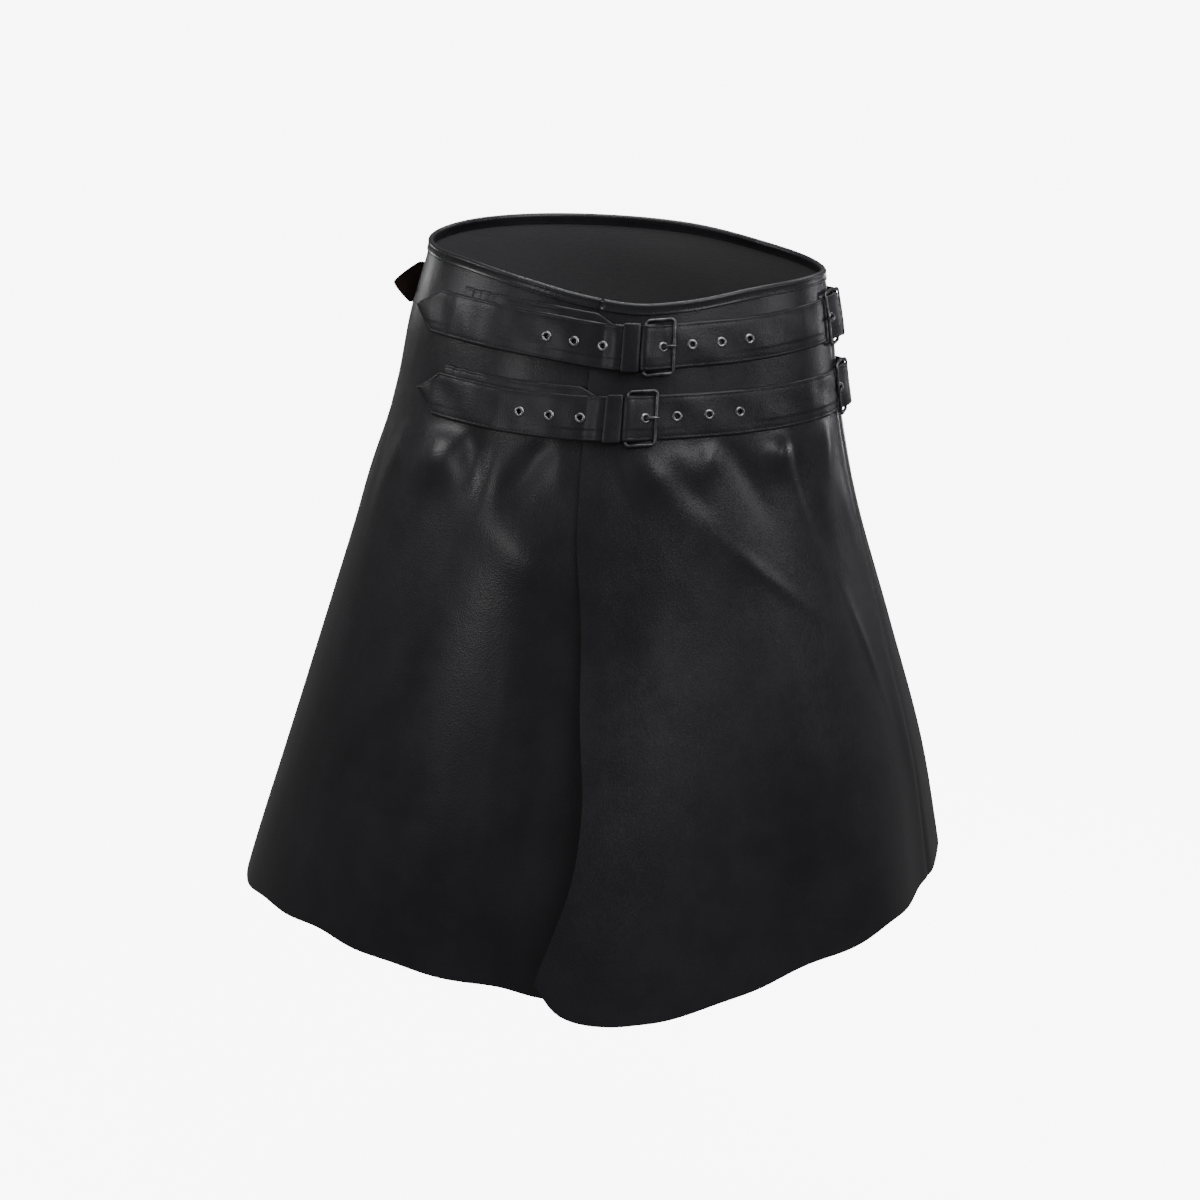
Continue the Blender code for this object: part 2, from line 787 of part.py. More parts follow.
def make_binding(material):
    """Strip folded over the rim, from the hidden edge of the under panel right round to the free edge."""
    outside = GAP + BINDING_CLOTH
    within = -CLOTH - GAP - BINDING_CLOTH
    profile = (
        (GAP, -BINDING_DEPTH),
        (outside, -BINDING_DEPTH),
        (outside, -BINDING_SHOULDER),
        (outside - BINDING_SHOULDER, 0.0),
        (within + BINDING_SHOULDER, 0.0),
        (within, -BINDING_SHOULDER),
        (within, -BINDING_DEPTH),
        (-CLOTH - GAP, -BINDING_DEPTH),
        (-CLOTH - GAP, -BINDING_CLOTH),
        (GAP, -BINDING_CLOTH),
    )
    free = FREE_EDGE[-1][1]
    turns = UNDER_EDGE + 360 - free
    sections = []
    for turn in np.linspace(0, turns, round(turns / BINDING_STEP) + 1):
        angle = UNDER_EDGE - turn
        rim = float(smooth_value(RIM_ROUND, turn_between(angle, 0)))
        back = float(under_layer(angle, rim)) if turn < 180 else 0.0
        sections.append([skin_point(angle, rim + rise, back + out) for out, rise in profile])
    sweep("waist_binding", sections, False, material)


def clear_scene():
    for item in list(bpy.data.objects):
        bpy.data.objects.remove(item, do_unlink=True)


clear_scene()
leather = make_material("panel_leather", (0.018, 0.018, 0.021), 0.42)
materials = {
    "strap": make_material("strap_leather", (0.022, 0.021, 0.026), 0.38),
    "metal": make_material("dark_nickel", (0.20, 0.20, 0.21), 0.32, 1.0),
}
make_panels(leather)
make_binding(make_material("binding_leather", (0.024, 0.024, 0.028), 0.36))
for level_name, level_places in LEVELS.items():
    make_level(level_name, level_places, materials)
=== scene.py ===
"""Wrap kilt in smooth black imitation leather, filled out as worn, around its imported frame.

Metres, +Z up, the front towards -Y. The origin is the middle of the waist opening.
Angles go round the body in degrees: -90 front, 0 the wearer's left side, 90 back, 180 right side.
"""
import math

import bmesh
import bpy
import numpy as np
from mathutils import Matrix, Vector


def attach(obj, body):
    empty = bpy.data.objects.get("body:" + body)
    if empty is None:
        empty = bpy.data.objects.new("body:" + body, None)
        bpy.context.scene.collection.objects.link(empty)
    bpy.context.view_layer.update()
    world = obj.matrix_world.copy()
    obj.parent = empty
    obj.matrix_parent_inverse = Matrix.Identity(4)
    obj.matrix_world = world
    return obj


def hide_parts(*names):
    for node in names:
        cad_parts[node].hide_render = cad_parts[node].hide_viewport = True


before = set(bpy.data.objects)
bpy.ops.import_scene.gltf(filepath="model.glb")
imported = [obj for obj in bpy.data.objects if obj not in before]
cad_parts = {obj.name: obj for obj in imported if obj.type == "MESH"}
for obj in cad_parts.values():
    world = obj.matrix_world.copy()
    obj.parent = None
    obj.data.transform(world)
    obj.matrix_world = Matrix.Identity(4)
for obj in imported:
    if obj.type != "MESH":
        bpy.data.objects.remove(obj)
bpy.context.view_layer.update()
MM = 0.001


# Panels
# Three pieces of imitation leather, a black coat with a fine grain on a grey knitted back. They are
# sewn at the sides and lap at the front. The hem and the free edge are cut and left raw.

CLOTH = 1.4 * MM
GAP = 0.3 * MM

# Body form, a row for each level from hem to rim: height, half width, half depth, sideways shift
BODY_LEVELS = (
    (-0.620, 0.338, 0.298, -0.0400),
    (-0.575, 0.327, 0.288, -0.0365),
    (-0.460, 0.298, 0.260, -0.0260),
    (-0.340, 0.263, 0.225, -0.0205),
    (-0.220, 0.227, 0.187, -0.0157),
    (-0.114, 0.200, 0.154, -0.0075),
    (-0.054, 0.190, 0.138, -0.0040),
    (0.000, 0.1765, 0.123, 0.0000),
    (0.020, 0.172, 0.118, 0.0010),
)

# Folds that open towards the hem: angle, spread in degrees, depth at the hem, and the height where
# it starts
FOLDS = (
    (-150, 13, 0.006, -0.24),
    (-122, 10, -0.004, -0.34),
    (-45, 9, -0.007, -0.30),
    (-24, 9, 0.006, -0.26),
    (-4, 8, -0.005, -0.22),
    (22, 10, 0.009, -0.20),
    (48, 10, -0.008, -0.24),
    (74, 11, 0.010, -0.18),
    (101, 11, -0.009, -0.22),
    (127, 11, 0.009, -0.20),
    (152, 10, -0.007, -0.26),
    (174, 10, 0.006, -0.24),
)
FOLD_FULL = -0.60

# Creases: angle, height, half length, half width, lean in degrees from upright, and depth in
# millimetres, where a ridge is positive and a trough negative
CREASES = (
    (-151, -0.185, 0.040, 0.012, 14, -1.2),
    (-141, -0.170, 0.034, 0.012, -18, 1.5),
    (-133, -0.310, 0.070, 0.018, 12, -1.2),
    (-122, -0.160, 0.022, 0.026, 38, 6.0),
    (-111, -0.158, 0.030, 0.012, 14, -3.4),
    (-105, -0.160, 0.020, 0.011, -12, 1.4),
    (-103, -0.205, 0.060, 0.024, 50, 2.6),
    (-92, -0.238, 0.040, 0.036, 45, 4.6),
    (-97, -0.160, 0.030, 0.011, -24, -3.2),
    (-90, -0.262, 0.070, 0.020, 52, -1.8),
    (-89, -0.150, 0.018, 0.007, 8, 1.2),
    (-77, -0.272, 0.030, 0.014, 6, 1.6),
    (-74, -0.160, 0.026, 0.010, 16, -1.4),
    (-65, -0.156, 0.026, 0.018, 60, 4.4),
    (-60, -0.164, 0.034, 0.010, 44, -3.0),
    (-53, -0.150, 0.015, 0.010, -16, 3.0),
    (-50, -0.205, 0.070, 0.022, 40, 1.9),
    (-43, -0.164, 0.036, 0.010, 30, -2.4),
    (-40, -0.247, 0.045, 0.005, 49, 1.3),
    (-33, -0.150, 0.016, 0.015, 20, 5.2),
    (-25, -0.175, 0.050, 0.010, 16, -2.4),
    (-13, -0.160, 0.030, 0.012, -12, 2.2),
    (-12, -0.330, 0.046, 0.005, 17, 1.3),
    (-4, -0.225, 0.055, 0.017, 10, 2.6),
    (0, -0.420, 0.090, 0.014, 6, 1.4),
    (12, -0.180, 0.060, 0.014, 8, -1.8),
    (24, -0.156, 0.028, 0.012, 26, 1.9),
    (33, -0.240, 0.080, 0.022, 34, 2.0),
    (43, -0.165, 0.040, 0.011, -14, -1.8),
    (57, -0.150, 0.022, 0.013, 20, 1.8),
    (66, -0.235, 0.090, 0.020, -26, -1.8),
    (79, -0.160, 0.034, 0.013, 12, 1.7),
    (92, -0.190, 0.050, 0.010, -8, -1.5),
    (103, -0.270, 0.080, 0.024, -34, 2.2),
    (114, -0.152, 0.024, 0.011, -20, 1.6),
    (124, -0.175, 0.050, 0.012, 16, -1.7),
    (138, -0.158, 0.028, 0.014, -28, 2.0),
    (149, -0.250, 0.080, 0.020, -30, 1.6),
    (159, -0.170, 0.040, 0.010, 10, -1.6),
    (171, -0.155, 0.026, 0.013, 22, 1.5),
    (-172, -0.230, 0.080, 0.018, -22, 1.6),
    (-163, -0.165, 0.036, 0.011, 12, -1.4),
)
# Heights between which the creases die out under the lower belt
CREASE_ENDS = (-0.128, -0.145)
# Radius of the body at the waist, and its growth for each metre down, that turns degrees to metres
CREASE_RADIUS = (0.15, 0.25)
SEAM_RADIUS = (0.17, 0.28)

# Waist rim round the body: angle, height
RIM_LINE = (
    (-180, 0.0130),
    (-150, 0.0090),
    (-126, 0.0050),
    (-104, -0.0050),
    (-89, -0.0140),
    (-72, -0.0210),
    (-60, -0.0190),
    (-41, -0.0120),
    (-15, -0.0095),
    (20, -0.0110),
    (50, -0.0050),
    (82, 0.0080),
    (112, 0.0140),
    (150, 0.0160),
)

# Hem round the body: angle, height
HEM_LINE = (
    (-180, -0.584),
    (-153, -0.587),
    (-130, -0.579),
    (-105, -0.581),
    (-83, -0.584),
    (-60, -0.583),
    (-43, -0.578),
    (-22, -0.567),
    (5, -0.566),
    (45, -0.569),
    (90, -0.572),
    (135, -0.577),
)

# Free front edge of the over panel: height, angle
FREE_EDGE = (
    (-0.600, -81.8),
    (-0.580, -81.6),
    (-0.547, -80.2),
    (-0.500, -78.3),
    (-0.440, -77.6),
    (-0.365, -79.0),
    (-0.263, -80.6),
    (-0.217, -82.2),
    (-0.138, -83.6),
    (-0.083, -84.0),
    (-0.010, -82.8),
)

# The over panel hangs lower near its rounded corner: degrees from the free edge, drop
CORNER_DROP = (
    (0.0, 0.0220),
    (0.6, 0.0165),
    (1.3, 0.0110),
    (2.3, 0.0035),
    (3.4, -0.0025),
    (5.0, -0.0080),
    (7.1, -0.0123),
    (10.0, -0.0148),
    (15.0, -0.0130),
    (22.0, -0.0100),
    (31.0, -0.0060),
    (41.0, -0.0010),
    (60.0, 0.0000),
    (90.0, 0.0000),
)
# The under panel hangs a little lower beside it: degrees from the right side seam, drop
UNDER_DROP = ((0.0, 0.0), (84.0, 0.0), (97.0, -0.0055), (126.0, -0.0055))
NO_DROP = ((0.0, 0.0), (90.0, 0.0), (200.0, 0.0))

# The hem waves by this much, in waves round the body: their count, turn in degrees, share
HEM_WAVE = 0.0012
HEM_WAVES = ((21, 180, 1.0), (15, 57, 0.3))

# How far the over panel stands away by its free corner, round which angle, between which heights
FLARE = 0.040
FLARE_AT = -82.0
FLARE_SPREAD = 27.0
FLARE_HEIGHTS = (-0.27, FOLD_FULL - 0.03)

# How far the under panel lies back at the waist and the hem, and how far it sinks beside the free
# edge, between which heights and angles
STEP_BACK = 0.0045
STEP_BACK_HEM = 0.0130
STEP_BACK_HEIGHTS = (-0.14, FOLD_FULL)
STEP_BACK_ANGLES = (-112.0, -87.0)
UNDER_DIP = 0.0070
UNDER_DIP_HEIGHTS = (-0.25, -0.40)
UNDER_DIP_ANGLES = (-95.0, -87.0)

LEFT_SEAM = 2.0
RIGHT_SEAM = -178.0
UNDER_EDGE = -52.0
# Degrees by which neighbouring panels reach past a seam, so that no light comes through it
SEAM_LAP = 0.015
SEAM_PINCH = 1.1 * MM
SEAM_PINCH_SPREAD = 0.006
RIM_TUCK = 1.3 * MM
# Height of the rim and length down to the hem that place a point on a panel's side edge
EDGE_TOP = -0.012
EDGE_LENGTH = 0.570
CELL = 4.6 * MM
EDGE_ROUNDING = 0.2 * MM


def smooth_rows(table, at):
    """Read every column of a table at a value of its first column, along a smooth curve."""
    rows = np.array(table, float)
    key = rows[:, 0]
    at = np.asarray(at, float)
    slope = np.gradient(rows, key, axis=0)
    low = np.clip(np.searchsorted(key, at) - 1, 0, len(key) - 2)
    span = key[low + 1] - key[low]
    part = np.clip((at - key[low]) / span, 0, 1)[..., None]
    span = span[..., None]
    square, cube = part**2, part**3
    start = (2 * cube - 3 * square + 1) * rows[low] + (cube - 2 * square + part) * span * slope[low]
    end = (3 * square - 2 * cube) * rows[low + 1] + (cube - square) * span * slope[low + 1]
    return start + end


def smooth_value(table, at):
    """The second column of a table with two columns."""
    return smooth_rows(table, at)[..., 1]


def all_round(table, angle):
    """Read a table of angles anywhere round the body."""
    turned = tuple((here + turn, value) for turn in (-360, 0, 360) for here, value in table)
    return smooth_value(turned, turn_between(angle, 0))


def step(value, start, end):
    """0 before start, 1 after end, and a soft change between."""
    part = np.clip((np.asarray(value, float) - start) / (end - start), 0, 1)
    return part * part * (3 - 2 * part)


def turn_between(angle, centre):
    return (np.asarray(angle, float) - centre + 180) % 360 - 180


def arc_between(angle, centre, height, radius):
    """The length round the body between two angles, roughly."""
    at_waist, growth = radius
    return np.radians(turn_between(angle, centre)) * (at_waist - growth * height)


def body_point(angle, height):
    """A point of the body form, without its folds."""
    angle, height = np.broadcast_arrays(np.asarray(angle, float), np.asarray(height, float))
    level = smooth_rows(BODY_LEVELS, height)
    turn = np.radians(angle)
    sideways = level[..., 3] + level[..., 1] * np.cos(turn)
    return np.stack([sideways, level[..., 2] * np.sin(turn), height], -1)


def outward(angle, height):
    """The direction square to the body form."""
    turn, rise = 0.5, 0.002
    along = body_point(np.add(angle, turn), height) - body_point(np.subtract(angle, turn), height)
    upward = body_point(angle, np.add(height, rise)) - body_point(angle, np.subtract(height, rise))
    square = np.cross(along, upward)
    return square / np.linalg.norm(square, axis=-1, keepdims=True)


def fold_depth(angle, height):
    total = np.zeros(np.broadcast(angle, height).shape)
    for centre, spread, depth, start in FOLDS:
        across = np.exp(-((turn_between(angle, centre) / spread) ** 2))
        total = total + depth * across * step(height, start, FOLD_FULL)
    return total


def skin_point(angle, height, out=0.0):
    """A point that lies out from the folded body form."""
    distance = np.asarray(out + fold_depth(angle, height))[..., None]
    return body_point(angle, height) + distance * outward(angle, height)


def crease_depth(angle, height):
    """Soft ridges and troughs, none of which reaches up under the straps."""
    total = np.zeros(np.broadcast(angle, height).shape)
    for centre, level, half_length, half_width, lean, depth in CREASES:
        sideways = arc_between(angle, centre, level, CREASE_RADIUS)
        upward = height - level
        lean = math.radians(lean)
        along = sideways * math.sin(lean) - upward * math.cos(lean)
        across = sideways * math.cos(lean) + upward * math.sin(lean)
        near = np.exp(-((along / half_length) ** 2) - (across / half_width) ** 2)
        total = total + depth * MM * near
    return total * step(height, *CREASE_ENDS)


def under_layer(angle, height):
    """The under panel lies behind the over panel where they overlap."""
    depth = STEP_BACK + (STEP_BACK_HEM - STEP_BACK) * step(height, *STEP_BACK_HEIGHTS)
    dip = UNDER_DIP * step(height, *UNDER_DIP_HEIGHTS) * step(angle, *UNDER_DIP_ANGLES)
    return -depth * step(angle, *STEP_BACK_ANGLES) - dip


def over_layer(angle, height):
    """The over panel stands away near its free corner."""
    spread = np.exp(-((turn_between(angle, FLARE_AT) / FLARE_SPREAD) ** 2))
    return FLARE * spread * step(height, *FLARE_HEIGHTS)


def plain_layer(angle, height):
    """The back panel lies on the form itself."""
    return np.zeros(np.broadcast(angle, height).shape)


class Socket:
    """A socket of a material's node. Sums on it add Math nodes, and add() adds any other node."""

    def __init__(self, socket):
        self.socket = socket
        self.tree = socket.id_data

    def add(self, kind, settings, values, output=0):
        node = self.tree.nodes.new(kind)
        for name, setting in settings.items():
            setattr(node, name, setting)
        for name, value in values.items():
            if isinstance(value, Socket):
                self.tree.links.new(value.socket, node.inputs[name])
            else:
                node.inputs[name].default_value = value
        return Socket(node.outputs[output])

    def math(self, operation, first, second):
        return self.add("ShaderNodeMath", {"operation": operation}, {0: first, 1: second})

    def __add__(self, other):
        return self.math("ADD", self, other)

    def __sub__(self, other):
        return self.math("SUBTRACT", self, other)

    def __rsub__(self, other):
        return self.math("SUBTRACT", other, self)

    def __mul__(self, other):
        return self.math("MULTIPLY", self, other)

    __radd__ = __add__
    __rmul__ = __mul__

    def noise(self, scale, detail=2.0, roughness=0.5):
        values = {"Vector": self, "Scale": scale, "Detail": detail, "Roughness": roughness}
        return self.add("ShaderNodeTexNoise", {}, values)

    def stretched(self, scale):
        values = {"Vector": self, "Scale": scale}
        return self.add("ShaderNodeMapping", {"vector_type": "POINT"}, values)

    def between(self, low, high, to_low=0.0, to_high=1.0):
        values = {"Value": self, "From Min": low, "From Max": high,
                  "To Min": to_low, "To Max": to_high}
        return self.add("ShaderNodeMapRange", {"interpolation_type": "SMOOTHSTEP"}, values)

    def mixed(self, dark, light):
        """A colour between two, by this share."""
        values = {0: self, 6: (*dark, 1), 7: (*light, 1)}
        return self.add("ShaderNodeMix", {"data_type": "RGBA"}, values, output=2)

    def bump(self, strength, distance):
        values = {"Height": self, "Strength": strength, "Distance": distance}
        return self.add("ShaderNodeBump", {}, values)


def new_finish(name, metallic=0.0, specular=0.5, coordinates="Object"):
    """A material, its shader, and the coordinates that its pattern is laid on."""
    material = bpy.data.materials.new(name)
    material.use_nodes = True
    shader = material.node_tree.nodes["Principled BSDF"]
    shader.inputs["Metallic"].default_value = metallic
    shader.inputs["Specular IOR Level"].default_value = specular
    place = material.node_tree.nodes.new("ShaderNodeTexCoord")
    return material, shader, Socket(place.outputs[coordinates])


def feed(shader, **values):
    """Link the parts of a finish that change over the surface."""
    for name, value in values.items():
        value.tree.links.new(value.socket, shader.inputs[name.replace("_", " ")])


def coated_leather(name, dark, light, roughness, crumple):
    """Black coat with a fine pebble grain, uneven sheen and small creases."""
    material, shader, place = new_finish(name, specular=0.42)
    clouds = place.noise(9.0, 3.0)
    hand = place.noise(34.0, 4.0, 0.6)
    pebbles = place.add("ShaderNodeTexVoronoi", {"feature": "SMOOTH_F1"},
                        {"Vector": place, "Scale": 820.0})
    pulls = place.stretched((16.0, 16.0, 6.0)).noise(1.0, 4.0, 0.55)
    tone = clouds.between(0.35, 0.68) * 0.7 + hand.between(0.4, 0.62) * 0.3
    sheen = roughness + (clouds - 0.5) * 0.18 + (hand - 0.5) * 0.14
    relief = pebbles * 0.10 + hand * 0.16 + pulls * crumple
    feed(shader, Base_Color=tone.mixed(dark, light), Roughness=sheen,
         Normal=relief.bump(1.0, 1.1 * MM))
    return material


def knitted_back(name):
    """Grey knit that carries the coat, seen inside the waist."""
    material, shader, place = new_finish(name, specular=0.15)
    ribs = place.add("ShaderNodeTexWave", {"wave_type": "BANDS", "bands_direction": "Z"},
                     {"Vector": place, "Scale": 190.0, "Distortion": 1.2, "Detail": 2.0})
    fuzz = place.noise(700.0, 3.0)
    tone = ribs * 0.35 + fuzz * 0.4 + place.noise(14.0) * 0.25
    rough = fuzz.between(0.0, 1.0, 0.86, 0.97)
    feed(shader, Base_Color=tone.mixed((0.078, 0.078, 0.080), (0.124, 0.124, 0.126)),
         Roughness=rough, Normal=(ribs * 0.5 + fuzz * 0.5).bump(0.5, 0.25 * MM))
    return material


def raw_edge_painted_shade(name):
    """Cut edge of the coat and its backing: its own dark colour with painted shade added, near
    black and darker than both the coat and the knit.
    """
    material, shader, place = new_finish(name, specular=0.1)
    fibres = place.noise(1600.0, 2.0)
    # Near-black colours, darker than the coat and the knit: painted shade along the cut edges
    feed(shader, Base_Color=fibres.mixed((0.004, 0.004, 0.004), (0.012, 0.011, 0.011)),
         Roughness=fibres.between(0.0, 1.0, 0.75, 0.95), Normal=fibres.bump(0.4, 0.1 * MM))
    return material


def shaped_grid(columns, rows, place):
    """A grid from (0, 0) to (1, 1), which is its UV map too, moved to where place says."""
    shape = bmesh.new()
    bmesh.ops.create_grid(shape, x_segments=columns, y_segments=rows, size=0.5)
    flat = np.array([vert.co[:2] for vert in shape.verts]) + 0.5
    cut = shape.loops.layers.uv.new("cut")
    for face in shape.faces:
        for loop in face.loops:
            loop[cut].uv = loop.vert.co.x + 0.5, loop.vert.co.y + 0.5
    for vert, spot in zip(shape.verts, place(flat[:, 0], flat[:, 1])):
        vert.co = spot
    return shape


def finished(name, shape, finishes):
    """Turn a shape into a piece that rides with the kilt."""
    mesh = bpy.data.meshes.new(name)
    shape.to_mesh(mesh)
    shape.free()
    mesh.shade_smooth()
    for finish in finishes:
        mesh.materials.append(finish)
    piece = bpy.data.objects.new(name, mesh)
    bpy.context.collection.objects.link(piece)
    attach(piece, "root")
    return piece


def thickened(piece, thickness, edge_finish=0, back_finish=0, rounding=0.0):
    """Give a flat piece its thickness on the side away from its face, with softened edges."""
    wall = piece.modifiers.new("thickness", "SOLIDIFY")
    wall.thickness = thickness
    wall.offset = -1
    wall.material_offset = back_finish
    wall.material_offset_rim = edge_finish
    if rounding:
        soft = piece.modifiers.new("rounded edge", "BEVEL")
        soft.width = rounding
        soft.segments = 2
        soft.harden_normals = True
        soft.limit_method = "ANGLE"
        soft.angle_limit = math.radians(50)


def make_panel(name, node, left_edge, right_edge, layer, drop, cut_size):
    """A panel from rim to hem between two edges, on its solid's form."""

    def place(across, up):
        down = 1 - up
        rough_height = EDGE_TOP - EDGE_LENGTH * down
        left = left_edge(rough_height)
        right = right_edge(rough_height)
        angle = left + (right - left) * across
        top = all_round(RIM_LINE, angle) - RIM_TUCK
        bottom = all_round(HEM_LINE, angle) + smooth_value(drop, angle - left)
        for count, turn, share in HEM_WAVES:
            bottom = bottom + HEM_WAVE * share * np.sin(np.radians(count * angle + turn))
        height = top + (bottom - top) * down
        pinch = 0.0
        for seam in (LEFT_SEAM, RIGHT_SEAM):
            beside = arc_between(angle, seam, height, SEAM_RADIUS)
            pinch = pinch - SEAM_PINCH * np.exp(-((beside / SEAM_PINCH_SPREAD) ** 2))
        return skin_point(angle, height, layer(angle, height) + crease_depth(angle, height) + pinch)

    width, length = cut_size
    shape = shaped_grid(round(width / CELL), round(length / CELL), place)
    piece = finished(name, shape, (panel_coat, knit, cut_edge_painted_shade))
    thickened(piece, CLOTH, edge_finish=2, back_finish=1, rounding=EDGE_ROUNDING)
    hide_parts(node)


def free_edge(height):
    """The angle of the over panel's free edge."""
    return smooth_value(FREE_EDGE, height)


def straight_edge(angle):
    """An edge that runs down at one angle."""
    return lambda height: angle + 0 * height


panel_coat = coated_leather("panel_coat", (0.0130, 0.0126, 0.0152), (0.0200, 0.0194, 0.0234),
                            roughness=0.34, crumple=0.8)
knit = knitted_back("knitted_back")
# The cut edges of the hem, the free edge and the binding carry painted shade: near black, darker
# than both coat and knit
cut_edge_painted_shade = raw_edge_painted_shade("raw_edge_painted_shade")


# Waist binding
# One strip of the same leather folded over the rim, from the hidden edge of the under panel right
# round to the free edge, and held by one row of stitches through all the layers.

BINDING_CLOTH = 1.0 * MM
BINDING_DEPTH = 9.5 * MM
BINDING_STITCHES = 7.2 * MM
BINDING_LENGTH = 1.065
BINDING_GRID = (300, 24)
BINDING_CLEAR = 0.1 * MM
# The roll of leather by the fold and the dent by the stitches: height, distance down, spread
ROLL = 0.7 * MM
ROLL_DOWN = 2.6 * MM
ROLL_SPREAD = 1.6 * MM
DENT = 0.25 * MM
DENT_SPREAD = 0.9 * MM


def binding_section(part):
    """Out and up from the rim's outer face, along the fold from outside to inside."""
    outside = GAP + BINDING_CLOTH
    within = -CLOTH - GAP - BINDING_CLOTH
    centre, radius = (outside + within) / 2, (outside - within) / 2
    straight = BINDING_DEPTH - radius
    run = part * (2 * straight + math.pi * radius)
    turn = np.clip((run - straight) / radius, 0, math.pi)
    out = centre + radius * np.cos(turn)
    rise = -radius + radius * np.sin(turn)
    rise = rise - np.clip(straight - run, 0, None)
    rise = rise - np.clip(run - straight - math.pi * radius, 0, None)
    near_stitches = np.exp(-(((rise + BINDING_STITCHES) / DENT_SPREAD) ** 2))
    near_fold = np.exp(-(((rise + ROLL_DOWN) / ROLL_SPREAD) ** 2))
    side = np.sign(out - centre)
    return out + side * (ROLL * near_fold - DENT * near_stitches), rise


def layer_under(angle, height):
    """How far back the panel under the binding lies, along its one and a bit turns."""
    return np.where(angle > UNDER_EDGE - 180, under_layer(angle, height), 0.0)


def binding_place(along, part):
    first = FREE_EDGE[-1][1] - 360
    angle = first + (UNDER_EDGE - first) * along
    rim = all_round(RIM_LINE, angle)
    out, rise = binding_section(part)
    return skin_point(angle, rim + rise, layer_under(angle, rim) + out)


binding_coat = coated_leather("binding_coat", (0.015, 0.015, 0.017), (0.024, 0.024, 0.027),
                              roughness=0.30, crumple=0.5)
binding = finished("waist_binding_strip", shaped_grid(*BINDING_GRID, binding_place),
                   (binding_coat, cut_edge_painted_shade))
thickened(binding, BINDING_CLOTH - BINDING_CLEAR, edge_finish=1)
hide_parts("waist_binding")

# The panels that it holds
make_panel("front_over_panel_skin", "front_over_panel", free_edge,
           straight_edge(LEFT_SEAM + SEAM_LAP), over_layer, CORNER_DROP,
           cut_size=(0.50, 0.60))
make_panel("front_under_panel_skin", "front_under_panel", straight_edge(RIGHT_SEAM - SEAM_LAP),
           straight_edge(UNDER_EDGE), under_layer, UNDER_DROP,
           cut_size=(0.68, 0.61))
make_panel("back_panel_skin", "back_panel", straight_edge(LEFT_SEAM - SEAM_LAP),
           straight_edge(RIGHT_SEAM + 360 + SEAM_LAP), plain_layer, NO_DROP,
           cut_size=(1.03, 0.62))


# Sewing
# Black thread in one lockstitch after another, sunk a little into the leather. A row runs round the
# binding through all its layers.

STITCH_PITCH = 3.3 * MM
STITCH_LENGTH = 2.5 * MM
STITCH_WIDTH = 0.62 * MM
STITCH_HEIGHT = 0.50 * MM
STITCH_SIDES = 6
STITCH_RINGS = 4
STITCH_SUNK = 0.2 * MM
# Half of the turn that gives a binding stitch its direction, and the share of the rim that is sewn
HALF_STITCH_TURN = 0.15
SEWN_RIM = (0.002, 0.998)
# How far off the leather the points lie that say which way is up
ABOVE = 2 * MM


def twisted_thread(name):
    """Black thread with a low sheen."""
    material, shader, place = new_finish(name, specular=0.35)
    strands = place.noise(2400.0, 1.0)
    feed(shader, Base_Color=strands.mixed((0.006, 0.006, 0.007), (0.016, 0.016, 0.018)),
         Roughness=strands.between(0.2, 0.8, 0.48, 0.66), Normal=strands.bump(0.3, 0.1 * MM))
    return material


def unit(vectors):
    """Vectors of length 1 in the same directions."""
    return vectors / np.linalg.norm(vectors, axis=-1, keepdims=True)


def sew(name, first, second, above):
    """Set a stitch at each two points of a row, on the side of the leather of the points above."""
    shape = bmesh.new()
    bmesh.ops.create_uvsphere(shape, u_segments=STITCH_SIDES, v_segments=STITCH_RINGS, radius=0.5)
    ball = np.array([vert.co for vert in shape.verts])
    one_stitch = bpy.data.meshes.new("one_stitch")
    shape.to_mesh(one_stitch)
    for _ in first[1:]:
        shape.from_mesh(one_stitch)
    bpy.data.meshes.remove(one_stitch)
    middle = (first + second) / 2
    along = unit(second - first)
    up = above - middle
    up = unit(up - along * np.sum(up * along, -1, keepdims=True))
    across = np.cross(up, along)
    axes = np.stack([along * STITCH_LENGTH, across * STITCH_WIDTH, up * STITCH_HEIGHT], 1)
    spots = (middle[:, None] + ball @ axes).reshape(-1, 3)
    for vert, spot in zip(shape.verts, spots):
        vert.co = spot
    return finished(name, shape, (thread,))


def sew_binding():
    turn = UNDER_EDGE - FREE_EDGE[-1][1] + 360
    angle = UNDER_EDGE - turn * np.arange(*SEWN_RIM, STITCH_PITCH / BINDING_LENGTH)
    height = all_round(RIM_LINE, angle) - BINDING_STITCHES
    out = layer_under(angle, height) + GAP + BINDING_CLOTH - STITCH_SUNK
    first = skin_point(angle - HALF_STITCH_TURN, height, out)
    second = skin_point(angle + HALF_STITCH_TURN, height, out)
    above = skin_point(angle, height, out + ABOVE)
    sew("binding_stitches", first, second, above)


thread = twisted_thread("black_thread")
sew_binding()


# Straps of the two belts
# Strap leather 38 mm wide with turned edges, stitched along both. On each belt one long strap with
# a point at both ends runs through the front and side buckles. Each buckle hangs in the folded end
# of a second strap, sewn along the skirt: in front under the long strap, from the side to the back.

STRAP_HALF = 0.019
POINT_LENGTH = 0.028
TIP_HALF = 0.6 * MM
# Thickness of the long straps and of the holding ones, and of the leather seen at their edges
STRAP_LEATHER = 1.8 * MM
BAND_LEATHER = 1.6 * MM
LEATHER_PLY = 1.25 * MM
STRAP_ROUNDING = 0.55 * MM
STITCH_MARGIN = 3.0 * MM
HALF_STITCH_RUN = 0.5 * MM
# Rise for each millimetre across a strap, which leans with the body
LEAN = 0.97
RUN_STEP = 1.4 * MM
PATH_STEP = 1.0 * MM
# Grid lines across half a strap, in millimetres from its middle
STRAP_COLUMNS = (0, 1.25, 2.5, 3.2, 4.0, 5.2, 7.0, 8.4, 9.0, 9.6, 10.2, 12.0, 14.0, 15.6, 16.2,
                 16.8, 17.5, 18.1, 18.6, 19)

